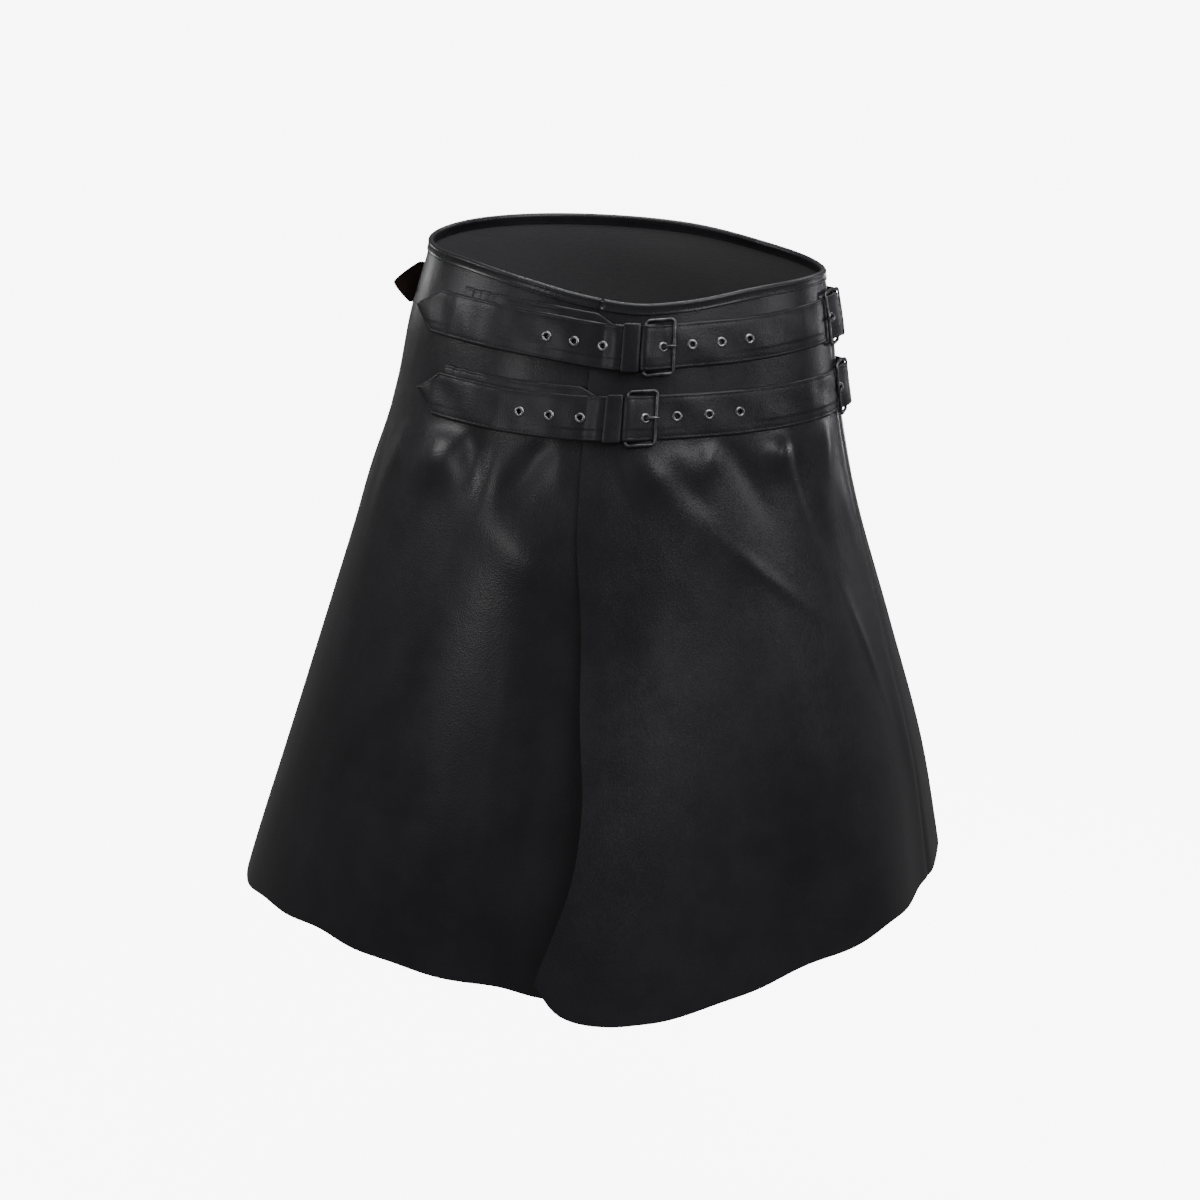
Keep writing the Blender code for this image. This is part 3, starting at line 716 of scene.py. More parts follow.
# Relief of a strap's face: its turned edge, the dent along the stitches, a ledge along the lower
# half that comes and goes, the fall from middle to edge, and the sway along it
EDGE_ROUND = 1.7 * MM
EDGE_STEEPNESS = 0.97
EDGE_FALL = 0.75
SEAM_DENT = 0.20 * MM
SEAM_DENT_SPREAD = 0.55 * MM
LEDGE = 0.34 * MM
LEDGE_BETWEEN = (8.2 * MM, 10.4 * MM)
LEDGE_WAVE = (31, 2.2)
CROWN = 0.25 * MM
# Height, radians for each metre, turn, turn from middle to edge
SWAYS = ((0.22 * MM, 118, 0.0, 3.0), (0.14 * MM, 263, 1.3, 0.0))
# Gathers at a sewn end, as above, and how far along and across they reach
PUCKER = 0.18 * MM
PUCKERS = ((1.0, 760, 0.8, 0.0), (0.8, 1330, 0.0, 2.1), (0.5, 2110, 0.0, 0.0))
PUCKER_RUN = (0.012, 0.040)
PUCKER_SHARE = (0.3, 0.9)

# Heights off the panel, by distance from the heel bar: of the long strap's underside, and of the
# folded strap's, which goes round the bar and back
STRAP_STACK = (
    (-0.036, 0.0022),
    (-0.022, 0.0056),
    (-0.004, 0.0056),
    (0.000, 0.0076),
    (0.021, 0.0003),
)
BAND_STACK = (
    (-0.034, 0.0003),
    (-0.022, 0.0037),
    (-0.004, 0.0037),
    (0.000, 0.0057),
)
# The turn of the fold in degrees, as first, past last and step, and where its turned end stops
FOLD_TURNS = (78, -91, -12)
FOLD_STEP = 1.5 * MM
FOLD_END = -0.020
# The long strap's loose tip lies this high, from where the strap under it ends
LOOSE_TIP = 0.0010
LOOSE_FROM = 0.014
LOOSE_TO = 0.002
TIP_FADE = 0.012
TAIL_LENGTH = 0.075
BACK_LIFT_LENGTH = 0.050
WIRE = 1.5 * MM
FRAME_OUT = 3.9 * MM
PRONG_AT = 0.0146
SLOT_HALF = 3.0 * MM
SLOT_REACH = 4.0 * MM
STRAP_HOLE = 3.4 * MM
HOLES_LEFT = 4
HOLES_RIGHT = 3
# Distances along a strap, and share across it, between which an eyelet's axes are taken
SEAT_REACH = 3 * MM
SEAT_SHARE = 0.15
# The strap that holds a front buckle widens under the long strap: extra width, between which
# distances, and the wave of its sewn edge
BAND_EXTRA = 0.0075
BAND_EXTRA_BETWEEN = (-0.046, -0.024)
BAND_WAVE = 0.35 * MM
BAND_WAVE_TURNS = 330
BAND_WAVE_BETWEEN = (0.03, 0.07)

# Places of each belt. A line gives angle and height along the middle of a strap
BELTS = {
    "upper": {
        "front_line": (
            (-165, -0.0410),
            (-145, -0.0415),
            (-124, -0.0430),
            (-97, -0.0495),
            (-74, -0.0570),
            (-58, -0.0545),
            (-43, -0.0530),
            (-20, -0.0505),
            (0, -0.0500),
            (20, -0.0502),
            (45, -0.0510),
            (70, -0.0510),
        ),
        "back_line": (
            (-20, -0.0505),
            (0, -0.0500),
            (20, -0.0502),
            (45, -0.0510),
            (90, -0.0500),
            (135, -0.0460),
            (170, -0.0400),
            (215, -0.0370),
        ),
        "corner_angle": -136.0,
        "tip_lift": 0.005,
        "band_angle": -125.5,
        "heel_angle": -70.4,
        "side_heel_angle": 5.0,
        "hole_spacing": 0.0246,
        "back_end_angle": 190.0,
        "back_lift": 0.020,
    },
    "lower": {
        "front_line": (
            (-165, -0.1080),
            (-138, -0.1080),
            (-125, -0.1085),
            (-102, -0.1120),
            (-80, -0.1140),
            (-60, -0.1120),
            (-40, -0.1115),
            (-15, -0.1120),
            (5, -0.1130),
            (25, -0.1135),
            (45, -0.1140),
            (70, -0.1140),
        ),
        "back_line": (
            (-15, -0.1120),
            (5, -0.1130),
            (25, -0.1135),
            (45, -0.1140),
            (90, -0.1140),
            (135, -0.1120),
            (170, -0.1100),
            (215, -0.1090),
        ),
        "corner_angle": -127.5,
        "tip_lift": 0.003,
        "band_angle": -126.5,
        "heel_angle": -73.6,
        "side_heel_angle": 8.0,
        "hole_spacing": 0.0268,
        "back_end_angle": 176.0,
        "back_lift": 0.001,
    },
}


def stepped_value(table, at):
    """The second column of a table, level at each row and changing softly between rows."""
    total = np.full(np.shape(at), table[0][1], float)
    for (here, low), (there, high) in zip(table, table[1:]):
        total = total + (high - low) * step(at, here, there)
    return total


class StrapLine:
    """The middle line of a strap round the skirt, measured from a heel bar."""

    def __init__(self, line, heel_angle):
        self.line = line
        self.angles = np.arange(line[0][0], line[-1][0] + 0.25, 0.5)
        points = body_point(self.angles, smooth_value(line, self.angles))
        lengths = np.linalg.norm(np.diff(points, axis=0), axis=1)
        self.run = np.concatenate([[0], np.cumsum(lengths)])
        self.run = self.run - np.interp(heel_angle, self.angles, self.run)

    def along(self, angle):
        return float(np.interp(angle, self.angles, self.run))

    def point(self, along, across, out):
        """A point along the strap, across it, and off the panel."""
        angle = np.interp(along, self.run, self.angles)
        height = smooth_value(self.line, angle) + np.asarray(across) * LEAN
        return skin_point(angle, height, out)


class Ply:
    """A strip of leather seen edge on: where its underside runs, by distance and height."""

    def __init__(self, points):
        self.points = np.array(points, float)
        steps = np.diff(self.points, axis=0)
        self.run = np.concatenate([[0], np.cumsum(np.linalg.norm(steps, axis=1))])
        slopes = np.gradient(self.points, self.run, axis=0)
        square = np.stack([-slopes[:, 1], slopes[:, 0]], -1)
        self.square = square / np.linalg.norm(square, axis=1, keepdims=True)

    def place(self, run, lift):
        """Distance and height of a point of the strip at a length along it."""
        columns = [np.interp(run, self.run, self.points[:, axis]) for axis in (0, 1)]
        directions = [np.interp(run, self.run, self.square[:, axis]) for axis in (0, 1)]
        return columns[0] + directions[0] * lift, columns[1] + directions[1] * lift


class Buckle:
    """A buckle's places on a strap line: its heel bar, and which way its frame lies."""

    def __init__(self, line, heel, side):
        self.line = line
        self.heel = heel
        self.side = side

    def point(self, distance, across, out):
        return self.line.point(self.heel + self.side * np.asarray(distance), across, out)


def waves(table, run, share):
    """Waves along a strap, slanting across it."""
    return sum(size * np.sin(run * wave + turn + slant * share)
               for size, wave, turn, slant in table)


def strap_relief(run, share, low, high):
    """How far the face of a strap lies above or below flat."""
    half = np.where(share < 0, low, high)
    from_edge = half * (1 - np.abs(share))
    turned = np.clip(EDGE_ROUND - from_edge, 0, EDGE_ROUND)
    fall = EDGE_ROUND - np.sqrt(EDGE_ROUND**2 - (EDGE_STEEPNESS * turned) ** 2)
    dent = SEAM_DENT * np.exp(-(((from_edge - STITCH_MARGIN) / SEAM_DENT_SPREAD) ** 2))
    wave, turn = LEDGE_WAVE
    strength = 0.5 + 0.5 * np.sin(run * wave + turn)
    ledge = strength * LEDGE * step(-share * half, *LEDGE_BETWEEN)
    return waves(SWAYS, run, share) - EDGE_FALL * fall - dent - ledge - CROWN * share**4


def strap_piece(name, node, path, edges, thickness, at, holes, facing=1, puckers=None):
    """A strap along its path, with holes cut and stitches along both edges. Returns its face."""
    half_shares = [column / STRAP_COLUMNS[-1] for column in STRAP_COLUMNS]
    shares = sorted({side * share for share in half_shares for side in (-1, 1)})
    length = path.run[-1]
    runs = np.linspace(0, length, round(length / RUN_STEP) + 1)

    def face_point(run, share, lift=0.0):
        low, high = edges(run)
        lift = lift + thickness + strap_relief(run, share, low, high)
        if puckers:
            lift = lift + puckers(run, share)
        distance, out = path.place(run, lift)
        return at(distance, share * np.where(share < 0, low, high), out)

    def flat_point(along, across):
        run = np.interp(along, np.linspace(0, 1, len(runs)), runs)
        share = np.interp(across, np.linspace(0, 1, len(shares)), shares)
        return np.stack([run, share * STRAP_HALF, 0 * run], -1)

    shape = shaped_grid(len(runs) - 1, len(shares) - 1, flat_point)
    for is_inside in holes:
        cut = [face for face in shape.faces if is_inside(*face.calc_center_median()[:2])]
        bmesh.ops.delete(shape, geom=cut, context="FACES")
    flat = np.array([vert.co[:2] for vert in shape.verts])
    for vert, spot in zip(shape.verts, face_point(flat[:, 0], flat[:, 1] / STRAP_HALF)):
        vert.co = spot
    if facing < 0:
        bmesh.ops.reverse_faces(shape, faces=shape.faces)
    piece = finished(name, shape, (strap_face, strap_back))
    thickened(piece, LEATHER_PLY, back_finish=1, rounding=STRAP_ROUNDING)
    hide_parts(node)

    row = np.arange(STITCH_PITCH, length - STITCH_PITCH, STITCH_PITCH)
    run = np.concatenate([row, row])
    half = np.concatenate([edge + 0 * row for edge in edges(row)])
    share = (1 - STITCH_MARGIN / half) * np.repeat((-1, 1), len(row))
    run, share = run[half > 2 * STITCH_MARGIN], share[half > 2 * STITCH_MARGIN]
    first = face_point(run - HALF_STITCH_RUN, share)
    second = face_point(run + HALF_STITCH_RUN, share)
    above = face_point(run, share, ABOVE)
    stitches = sew(f"{name}_stitches", first, second, above)
    low, high = edges((runs[1:] + runs[:-1]) / 2)
    float(low.max() + high.max())
    float(np.sum((low + high) * np.diff(runs)))
    return face_point


def holding_strap(name, node, buckle, length, low_edge, high_edge, lift, puckers=None):
    """Strap folded round a heel bar and slotted there for the prong."""
    main = np.arange(-length, PATH_STEP / 2, PATH_STEP)
    heights = stepped_value(BAND_STACK, main)
    raised = lift * (1 - step(main, -length, -length + BACK_LIFT_LENGTH))
    layer = list(zip(main, heights + raised))
    radius = WIRE + GAP
    turns = np.radians(np.arange(*FOLD_TURNS))
    layer += [(radius * math.cos(turn), FRAME_OUT + radius * math.sin(turn)) for turn in turns]
    layer += [(at, FRAME_OUT - radius) for at in np.arange(-FOLD_STEP, FOLD_END, -FOLD_STEP)]
    path = Ply(layer)
    heel_run = path.run[len(main) - 1]
    slot_end = heel_run + math.pi * radius + SLOT_REACH

    def edges(run):
        return low_edge(run - heel_run, run), high_edge(run - heel_run, run)

    def in_slot(run, across):
        return heel_run - SLOT_REACH < run < slot_end and abs(across) < SLOT_HALF

    strap_piece(name, node, path, edges, BAND_LEATHER, buckle.point, [in_slot],
                buckle.side, puckers)


def eyelet_seat(face_point, run):
    """Where an eyelet sits on a strap's face: its middle, and its axes along, across and off it."""
    middle = Vector(face_point(run, np.array(0.0)))
    ahead, behind = (face_point(run + side * SEAT_REACH, np.array(0.0)) for side in (1, -1))
    over, below = (face_point(run, np.array(side * SEAT_SHARE)) for side in (1, -1))
    along = Vector(ahead - behind).normalized()
    across = Vector(over - below)
    across = (across - along * across.dot(along)).normalized()
    axes = Matrix((along, across, along.cross(across))).transposed()
    return Matrix.Translation(middle) @ axes.to_4x4()


def long_strap(name, node, places, line, side_heel):
    """The belt's strap with a point at each end. Returns where its eyelets go."""
    corner = line.along(places["corner_angle"])
    start = corner - POINT_LENGTH
    along = np.arange(start, side_heel + TAIL_LENGTH, PATH_STEP)
    distance = np.where(along < side_heel / 2, along, side_heel - along)
    heights = stepped_value(STRAP_STACK, distance)
    band_end = line.along(places["band_angle"])
    past_band = 1 - step(along, band_end - LOOSE_FROM, band_end - LOOSE_TO)
    heights = heights + (LOOSE_TIP - heights) * past_band
    heights = heights + places["tip_lift"] * (1 - step(along, start, corner + TIP_FADE))
    path = Ply(list(zip(along, heights)))
    counts = range(-HOLES_LEFT, HOLES_RIGHT + 1)
    spots = [PRONG_AT + places["hole_spacing"] * count for count in counts]
    spots.append(side_heel - PRONG_AT)
    holes = [float(np.interp(spot, path.points[:, 0], path.run)) for spot in spots]
    length = path.run[-1]

    def edges(run):
        half = STRAP_HALF * np.minimum(1, np.minimum(run, length - run) / POINT_LENGTH)
        half = np.maximum(half, TIP_HALF)
        return half, half

    def in_hole(middle):
        return lambda run, across: math.hypot(run - middle, across) < STRAP_HOLE

    face_point = strap_piece(name, node, path, edges, STRAP_LEATHER, line.point,
                             [in_hole(hole) for hole in holes])
    return [eyelet_seat(face_point, hole) for hole in holes]


def plain_edge(run, from_end):
    return STRAP_HALF + 0 * run


def pointed_edge(run, from_end):
    return np.maximum(STRAP_HALF * np.minimum(1, from_end / POINT_LENGTH), TIP_HALF)


def widened_edge(run, from_end):
    """The upper edge of the strap that holds a front buckle, uneven where it is sewn down."""
    wave = BAND_WAVE * np.sin(from_end * BAND_WAVE_TURNS) * (1 - step(from_end, *BAND_WAVE_BETWEEN))
    return STRAP_HALF + BAND_EXTRA * (1 - step(run, *BAND_EXTRA_BETWEEN)) + wave


def end_puckers(run, share):
    """Small gathers across the sewn end."""
    near_end = (1 - step(run, *PUCKER_RUN)) * step(share, *PUCKER_SHARE)
    return PUCKER * waves(PUCKERS, run, share) * near_end


def strap_split(name):
    """The strap's dark brown napped back."""
    material, shader, place = new_finish(name, specular=0.1)
    nap = place.noise(900.0, 3.0)
    tone = nap * 0.6 + place.noise(40.0, 2.0) * 0.4
    feed(shader, Base_Color=tone.mixed((0.040, 0.027, 0.021), (0.095, 0.068, 0.054)),
         Roughness=nap.between(0.0, 1.0, 0.84, 0.96), Normal=nap.bump(0.5, 0.3 * MM))
    return material


strap_face = coated_leather("strap_face", (0.0095, 0.0093, 0.0118), (0.0155, 0.0152, 0.0188),
                            roughness=0.38, crumple=0.5)
strap_back = strap_split("strap_split")


# Eyelets
# Pressed rings of dark nickel with a rolled rim and a tube through the leather, nine on each long
# strap.

EYELET_SIDES = 28
# Section of the ring in millimetres: distance from its middle, height above the strap's face
EYELET_SECTION = (
    (2.05, -1.50),
    (2.05, 0.35),
    (2.25, 0.80),
    (2.70, 1.08),
    (3.30, 1.14),
    (3.90, 0.94),
    (4.35, 0.55),
    (4.60, 0.10),
    (4.55, -0.15),
    (2.55, -0.15),
    (2.55, -1.50),
)


def dark_metal(name, dark, light, roughness):
    """Dark nickel plate, with small scuffs that show brighter metal."""
    material, shader, place = new_finish(name, metallic=1.0)
    clouds = place.noise(120.0, 3.0)
    scuffs = place.stretched((900.0, 900.0, 220.0)).noise(1.0, 3.0, 0.6).between(0.52, 0.66)
    tone = clouds.between(0.35, 0.65) * 0.5 + scuffs * 0.5
    feed(shader, Base_Color=tone.mixed(dark, light), Roughness=roughness + (clouds - 0.5) * 0.2,
         Normal=scuffs.bump(0.2, 0.05 * MM))
    return material


def make_eyelet(name, node, seat):
    """A ring spun from its section and set on its seat."""
    shape = bmesh.new()
    ring = [shape.verts.new((out * MM, 0, height * MM)) for out, height in EYELET_SECTION]
    for here, there in zip(ring, ring[1:] + ring[:1]):
        shape.edges.new((here, there))
    bmesh.ops.spin(shape, geom=shape.verts[:] + shape.edges[:], cent=(0, 0, 0), axis=(0, 0, 1),
                   dvec=(0, 0, 0), angle=2 * math.pi, steps=EYELET_SIDES, use_merge=True)
    bmesh.ops.transform(shape, matrix=seat, verts=shape.verts)
    bmesh.ops.recalc_face_normals(shape, faces=shape.faces)
    piece = finished(name, shape, (nickel,))
    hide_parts(node)


nickel = dark_metal("dark_nickel_plate", (0.20, 0.20, 0.21), (0.42, 0.42, 0.43), 0.30)


# Buckles
# A rectangular frame bent from wire, a flattened prong whose eye turns on its heel bar, and a
# leather keeper loop beside it that holds the strap down. Two on each belt, all fastened.

FRAME_REACH = 24 * MM
FRAME_HALF = 22.5 * MM
FRAME_CORNER = 3.3 * MM
CORNER_TURNS = range(0, 91, 15)
# Where the frame's two long bars have a ring between their ends, as shares of half the frame
BAR_SHARES = (0.6, 0.2, -0.2, -0.6)
BAR_SIDES = 14
# Height of the wire's section for its width
WIRE_FLATNESS = 0.93
PRONG_HALF_WIDTH = 1.3 * MM
PRONG_HALF_HEIGHT = 0.75 * MM
# Turns in degrees of the prong's eye round the heel bar, and its clearance
EYE_TURNS = (-60, -325)
EYE_STEPS = 18
EYE_GAP = 0.2 * MM
SHANK_STEPS = 22
PRONG_TIP_LENGTH = 5 * MM
PRONG_TIP_SHARE = 0.45
KEEPER_WIDTH = 14 * MM
KEEPER_AT = -11 * MM
KEEPER_LOW = 2.9 * MM
KEEPER_HIGH = 9.6 * MM
KEEPER_LEATHER = 1.0 * MM
KEEPER_PLY = 0.9
KEEPER_CORNER = 1.6 * MM
KEEPER_LOW_CORNER = 1.0 * MM
KEEPER_SHARES = (0.75, 0.45, 0.15, -0.15, -0.45, -0.75)
KEEPER_COLUMNS = 12
# Crown of a keeper across its width, above this height, and the fall of its rounded edges
KEEPER_CROWN = 0.3 * MM
KEEPER_CROWN_FROM = KEEPER_LOW + 3 * MM
KEEPER_FALL = 0.35 * MM
KEEPER_FALL_SHARE = 0.14
KEEPER_ROUNDING = 0.3 * MM
MERGE_DISTANCE = 0.001 * MM

# Prong from its eye, through the eyelet, to the open bar: distance, height
PRONG_SHANK = (
    (0.0050, 0.0034),
    (0.0088, 0.0017),
    (0.0116, 0.0018),
    (0.0146, 0.0033),
    (0.0172, 0.0053),
    (0.0205, 0.0064),
    (0.0240, 0.0067),
    (0.0268, 0.0060),
)


def skinned(sections, closed):
    """A bar through a row of like rings of points, joined to itself or closed at its ends."""
    sections = np.asarray(sections)
    count, sides = sections.shape[:2]
    spans = count if closed else count - 1

    def place(along, round_bar):
        section = np.rint(along * spans).astype(int) % count
        side = np.rint(round_bar * sides).astype(int) % sides
        return sections[section, side]

    shape = shaped_grid(spans, sides, place)
    bmesh.ops.remove_doubles(shape, verts=shape.verts, dist=MERGE_DISTANCE)
    if not closed:
        bmesh.ops.holes_fill(shape, edges=shape.edges, sides=sides)
    bmesh.ops.recalc_face_normals(shape, faces=shape.faces)
    return shape


def frame_line():
    """Middle of the frame's wire: distance, across, and the direction out of the frame."""
    spots = []
    for side, turn_from in ((1, 0), (1, 90), (-1, 180), (-1, 270)):
        middle = FRAME_REACH - FRAME_CORNER if turn_from in (0, 270) else FRAME_CORNER
        for turn in CORNER_TURNS:
            angle = math.radians(turn_from + turn)
            aim = (math.cos(angle), math.sin(angle))
            across = side * (FRAME_HALF - FRAME_CORNER)
            spots.append((middle + FRAME_CORNER * aim[0], across + FRAME_CORNER * aim[1], *aim))
        if turn_from in (90, 270):
            there, way = (0.0, 1) if turn_from == 90 else (FRAME_REACH, -1)
            spots += [(there, way * share * FRAME_HALF, -way, 0.0) for share in BAR_SHARES]
    return spots


def make_buckle_frame(name, node, buckle):
    """Wire bent round four corners and joined to itself."""
    distance, across, aim_along, aim_across = np.array(frame_line()).T[..., None]
    turn = 2 * math.pi * (np.arange(BAR_SIDES) + 0.5) / BAR_SIDES
    push = WIRE * np.cos(turn)
    rise = WIRE * WIRE_FLATNESS * np.sin(turn) + 0 * distance
    sections = buckle.point(distance + push * aim_along, across + push * aim_across,
                            FRAME_OUT + rise)
    piece = finished(name, skinned(sections, True), (gunmetal,))
    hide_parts(node)


def make_prong(name, node, buckle):
    """A flattened bar, bent into an eye round the heel bar and narrowed at its tip."""
    reach = WIRE + EYE_GAP + PRONG_HALF_HEIGHT
    turns = np.radians(np.linspace(*EYE_TURNS, EYE_STEPS))
    eye = [(reach * math.cos(turn), FRAME_OUT + reach * math.sin(turn)) for turn in turns]
    distances = np.linspace(PRONG_SHANK[0][0], PRONG_SHANK[-1][0], SHANK_STEPS)
    shank = [(distance, float(smooth_value(PRONG_SHANK, distance))) for distance in distances]
    path = Ply(eye + shank)
    run = np.repeat(path.run, BAR_SIDES)
    turn = 2 * math.pi * (np.tile(np.arange(BAR_SIDES), len(path.run)) + 0.5) / BAR_SIDES
    from_tip = step(path.run[-1] - run, 0.0, PRONG_TIP_LENGTH)
    narrow = PRONG_TIP_SHARE + (1 - PRONG_TIP_SHARE) * from_tip
    distance, out = path.place(run, PRONG_HALF_HEIGHT * narrow * np.sin(turn))
    points = buckle.point(distance, PRONG_HALF_WIDTH * narrow * np.cos(turn), out)
    sections = points.reshape(-1, BAR_SIDES, 3)
    piece = finished(name, skinned(sections, False), (gunmetal,))
    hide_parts(node)


def keeper_line():
    """Outline of a keeper seen along the strap: across, height, and the direction out of it."""
    half = STRAP_HALF + GAP + KEEPER_LEATHER
    spots = []
    corners = (
        (1, KEEPER_HIGH, -1, KEEPER_CORNER, 0),
        (-1, KEEPER_HIGH, -1, KEEPER_CORNER, 90),
        (-1, KEEPER_LOW, 1, KEEPER_LOW_CORNER, 180),
        (1, KEEPER_LOW, 1, KEEPER_LOW_CORNER, 270),
    )
    for side, height, inward, corner, turn_from in corners:
        for turn in CORNER_TURNS:
            angle = math.radians(turn_from + turn)
            aim = (math.cos(angle), math.sin(angle))
            across = side * (half - corner) + corner * aim[0]
            spots.append((across, height + inward * corner + corner * aim[1], *aim))
        if turn_from in (0, 180):
            spots += [(-inward * share * half, height, 0.0, -inward) for share in KEEPER_SHARES]
    return np.array(spots)


def make_keeper(name, node, buckle):
    """A closed loop of leather round the folded strap's upper layer and the long strap."""
    rings = keeper_line()

    def place(along, width):
        spot = rings[np.rint(along * len(rings)).astype(int) % len(rings)]
        across, out, aim_across, aim_out = spot.T
        off_middle = np.abs(2 * width - 1)
        crown = KEEPER_CROWN * (1 - off_middle**2) * (out > KEEPER_CROWN_FROM)
        near_edge = np.clip(off_middle - (1 - KEEPER_FALL_SHARE), 0, 1) / KEEPER_FALL_SHARE
        push = crown - KEEPER_FALL * near_edge**2
        distance = KEEPER_AT + (width - 0.5) * KEEPER_WIDTH
        return buckle.point(distance, across + push * aim_across, out + push * aim_out)

    shape = shaped_grid(len(rings), KEEPER_COLUMNS, place)
    bmesh.ops.remove_doubles(shape, verts=shape.verts, dist=MERGE_DISTANCE)
    bmesh.ops.recalc_face_normals(shape, faces=shape.faces)
    piece = finished(name, shape, (strap_face, strap_back))
    thickened(piece, KEEPER_LEATHER * KEEPER_PLY, back_finish=1, rounding=KEEPER_ROUNDING)
    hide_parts(node)


gunmetal = dark_metal("dark_nickel_wire", (0.085, 0.085, 0.090), (0.22, 0.22, 0.23), 0.34)

for level, places in BELTS.items():
    line = StrapLine(places["front_line"], places["heel_angle"])
    back_line = StrapLine(places["back_line"], places["side_heel_angle"])
    side_heel = line.along(places["side_heel_angle"])
    front = Buckle(line, 0.0, 1)
    side = Buckle(line, side_heel, -1)
    side_back = Buckle(back_line, 0.0, -1)
    holding_strap(f"{level}_front_holding_strap", f"{level}_buckle_strap", front,
                  -line.along(places["band_angle"]), plain_edge, widened_edge,
                  lift=0.0, puckers=end_puckers)
    holding_strap(f"{level}_back_holding_strap", f"{level}_back_strap", side_back,
                  back_line.along(places["back_end_angle"]), pointed_edge, pointed_edge,
                  lift=places["back_lift"])
    seats = long_strap(f"{level}_long_strap", f"{level}_front_strap", places, line, side_heel)
    for number, seat in enumerate(seats, 1):
        make_eyelet(f"{level}_eyelet_ring_{number:02d}", f"{level}_eyelet_{number:02d}", seat)
    for where, buckle in (("front", front), ("side", side)):
        make_buckle_frame(f"{level}_{where}_buckle_frame", f"{level}_{where}_frame", buckle)
        make_prong(f"{level}_{where}_buckle_prong", f"{level}_{where}_prong", buckle)
        make_keeper(f"{level}_{where}_keeper_loop", f"{level}_{where}_keeper", buckle)


# Stage
# A plain pale floor under the kilt, which hangs clear of it, soft studio light from in front, above
# and behind, and the camera at the photograph's angle.

FLOOR_LEVEL = -1.05
TARGET = Vector((-0.0228, -0.0070, -0.3220))
BELTS_MIDDLE = Vector((0.0, 0.0, -0.12))
CAMERA_TURN = math.radians(18.0)
CAMERA_RISE = math.radians(18.0)
CAMERA_ROLL = math.radians(-0.81)
CAMERA_DISTANCE = 2.2
LENS_MM = 71.76

# Softboxes, aimed at the belts: name, turn round the kilt, height, distance, width, height of the
# box, watts, colour
SOFTBOXES = (
    ("left", -160, 0.52, 1.6, 0.50, 0.24, 4.4, (1.0, 1.0, 1.0)),
    ("left_low", -120, 0.19, 1.6, 0.30, 0.14, 1.6, (1.0, 1.0, 1.0)),
    ("right_high", -44, 0.66, 1.6, 1.10, 0.20, 5.6, (0.95, 0.93, 1.0)),
    ("right_low", -6, 0.20, 1.6, 0.75, 0.12, 2.3, (0.95, 0.93, 1.0)),
    ("right_side", 44, -0.12, 1.6, 0.20, 0.24, 1.6, (0.95, 0.93, 1.0)),
    ("right_behind", 82, -0.36, 1.6, 0.24, 0.30, 1.3, (0.95, 0.93, 1.0)),
    ("left_behind", 152, 0.10, 1.6, 0.26, 0.24, 1.1, (1.0, 1.0, 1.0)),
    ("rim", 100, 1.50, 0.7, 1.1, 0.3, 14, (1.0, 1.0, 1.0)),
    ("key", -38, 1.55, 1.7, 1.0, 0.8, 13, (0.97, 0.97, 1.0)),
    ("above", -80, 1.70, 0.5, 1.4, 1.0, 16, (1.0, 1.0, 1.0)),
    ("behind", 60, 1.30, 1.8, 1.2, 0.8, 7, (1.0, 1.0, 1.0)),
)
# Brightness of the floor and the backdrop as the camera sees them, and of the backdrop's own light
PALE = 8.0
WORLD_LIGHT = 0.16
FLOOR_SIZE = 40.0


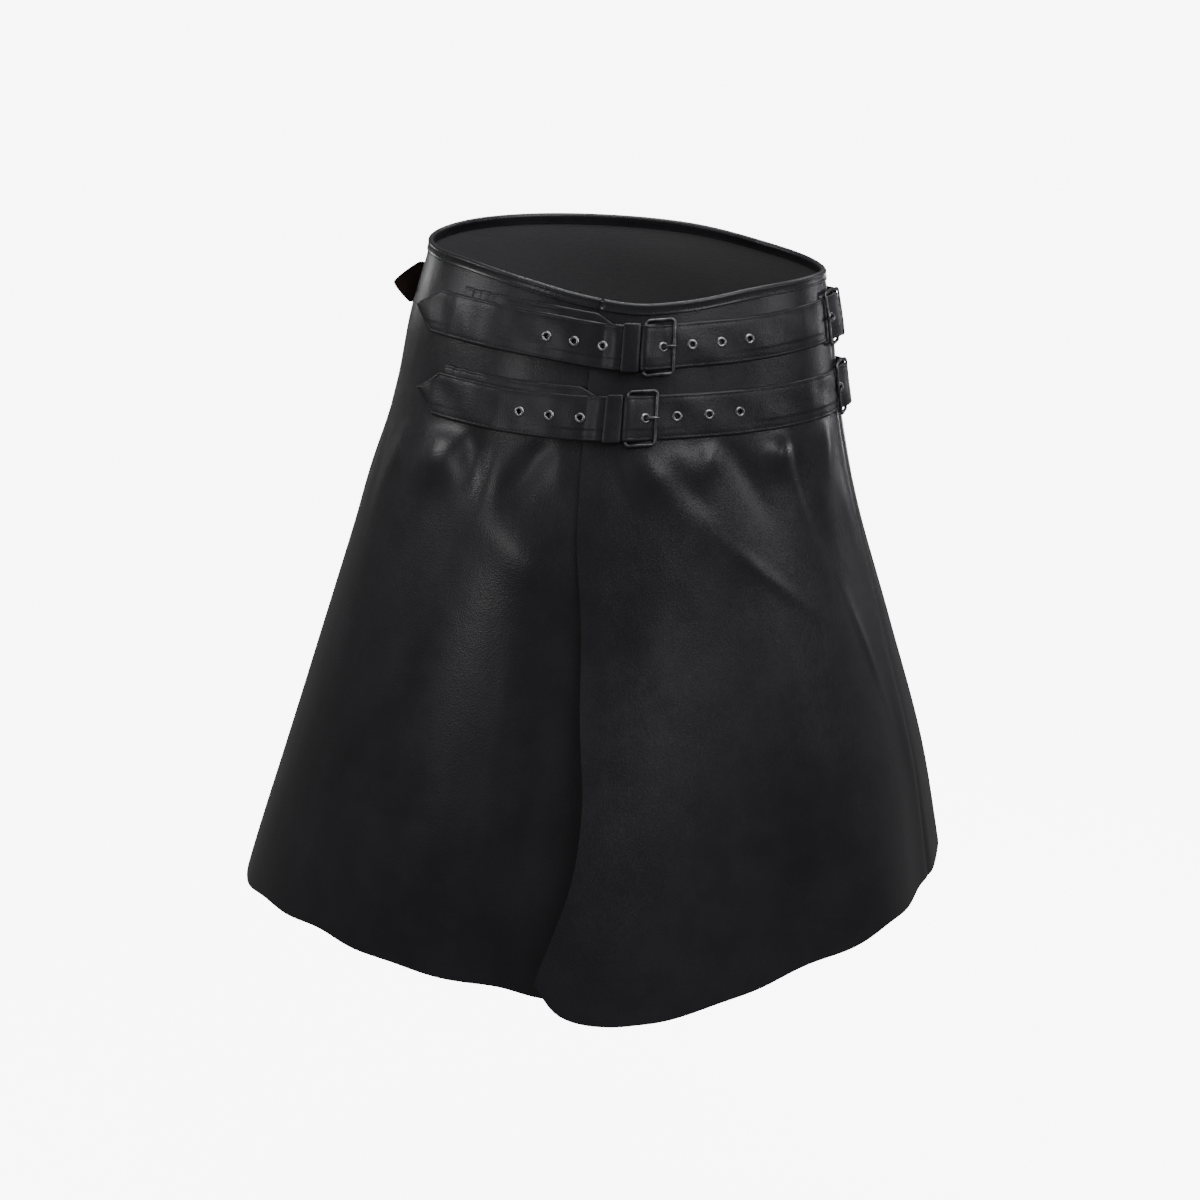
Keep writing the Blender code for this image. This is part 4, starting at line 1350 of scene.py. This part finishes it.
def lay_floor():
    """A pale floor that shines by itself and adds nothing to the light on the kilt."""
    shape = bmesh.new()
    bmesh.ops.create_grid(shape, x_segments=2, y_segments=2, size=FLOOR_SIZE)
    bmesh.ops.translate(shape, verts=shape.verts, vec=(0, 0, FLOOR_LEVEL))
    mesh = bpy.data.meshes.new("floor")
    shape.to_mesh(mesh)
    shape.free()
    material, shader, place = new_finish("pale_floor", specular=0.0)
    feed(shader, Base_Color=place.noise(2.0).mixed((0.90, 0.90, 0.90), (0.92, 0.92, 0.92)))
    shader.inputs["Roughness"].default_value = 0.9
    shader.inputs["Emission Color"].default_value = (1, 1, 1, 1)
    shader.inputs["Emission Strength"].default_value = PALE
    mesh.materials.append(material)
    floor = bpy.data.objects.new("floor", mesh)
    bpy.context.collection.objects.link(floor)
    floor.visible_diffuse = False
    floor.visible_glossy = False


def set_lights():
    """A pale backdrop for the camera alone, and the softboxes."""
    world = bpy.data.worlds.new("studio")
    world.use_nodes = True
    background = world.node_tree.nodes["Background"]
    background.inputs["Color"].default_value = (1, 1, 1, 1)
    rays = world.node_tree.nodes.new("ShaderNodeLightPath")
    seen = Socket(rays.outputs["Is Camera Ray"]) * (PALE - WORLD_LIGHT) + WORLD_LIGHT
    world.node_tree.links.new(seen.socket, background.inputs["Strength"])
    bpy.context.scene.world = world
    for name, turn, height, distance, width, tallness, watts, colour in SOFTBOXES:
        light = bpy.data.lights.new(name, "AREA")
        light.shape = "RECTANGLE"
        light.size = width
        light.size_y = tallness
        light.energy = watts
        light.color = colour
        lamp = bpy.data.objects.new(name, light)
        bpy.context.collection.objects.link(lamp)
        turn = math.radians(turn)
        lamp.location = distance * math.cos(turn), distance * math.sin(turn), height
        lamp.rotation_euler = (lamp.location - BELTS_MIDDLE).to_track_quat("Z", "Y").to_euler()
        lamp.visible_camera = False


def set_camera():
    """The camera, aimed at the target and rolled a little."""
    back = Vector((math.sin(CAMERA_TURN) * math.cos(CAMERA_RISE),
                   -math.cos(CAMERA_TURN) * math.cos(CAMERA_RISE), math.sin(CAMERA_RISE)))
    right = Vector((math.cos(CAMERA_TURN), math.sin(CAMERA_TURN), 0))
    up = back.cross(right)
    rolled_right = right * math.cos(CAMERA_ROLL) + up * math.sin(CAMERA_ROLL)
    rolled_up = up * math.cos(CAMERA_ROLL) - right * math.sin(CAMERA_ROLL)
    lens = bpy.data.cameras.new("camera")
    lens.lens = LENS_MM
    lens.sensor_width = 36.0
    camera = bpy.data.objects.new("camera", lens)
    bpy.context.collection.objects.link(camera)
    turned = Matrix((rolled_right, rolled_up, back)).transposed().to_4x4()
    camera.matrix_world = Matrix.Translation(TARGET + back * CAMERA_DISTANCE) @ turned
    bpy.context.scene.camera = camera


lay_floor()
set_lights()
set_camera()
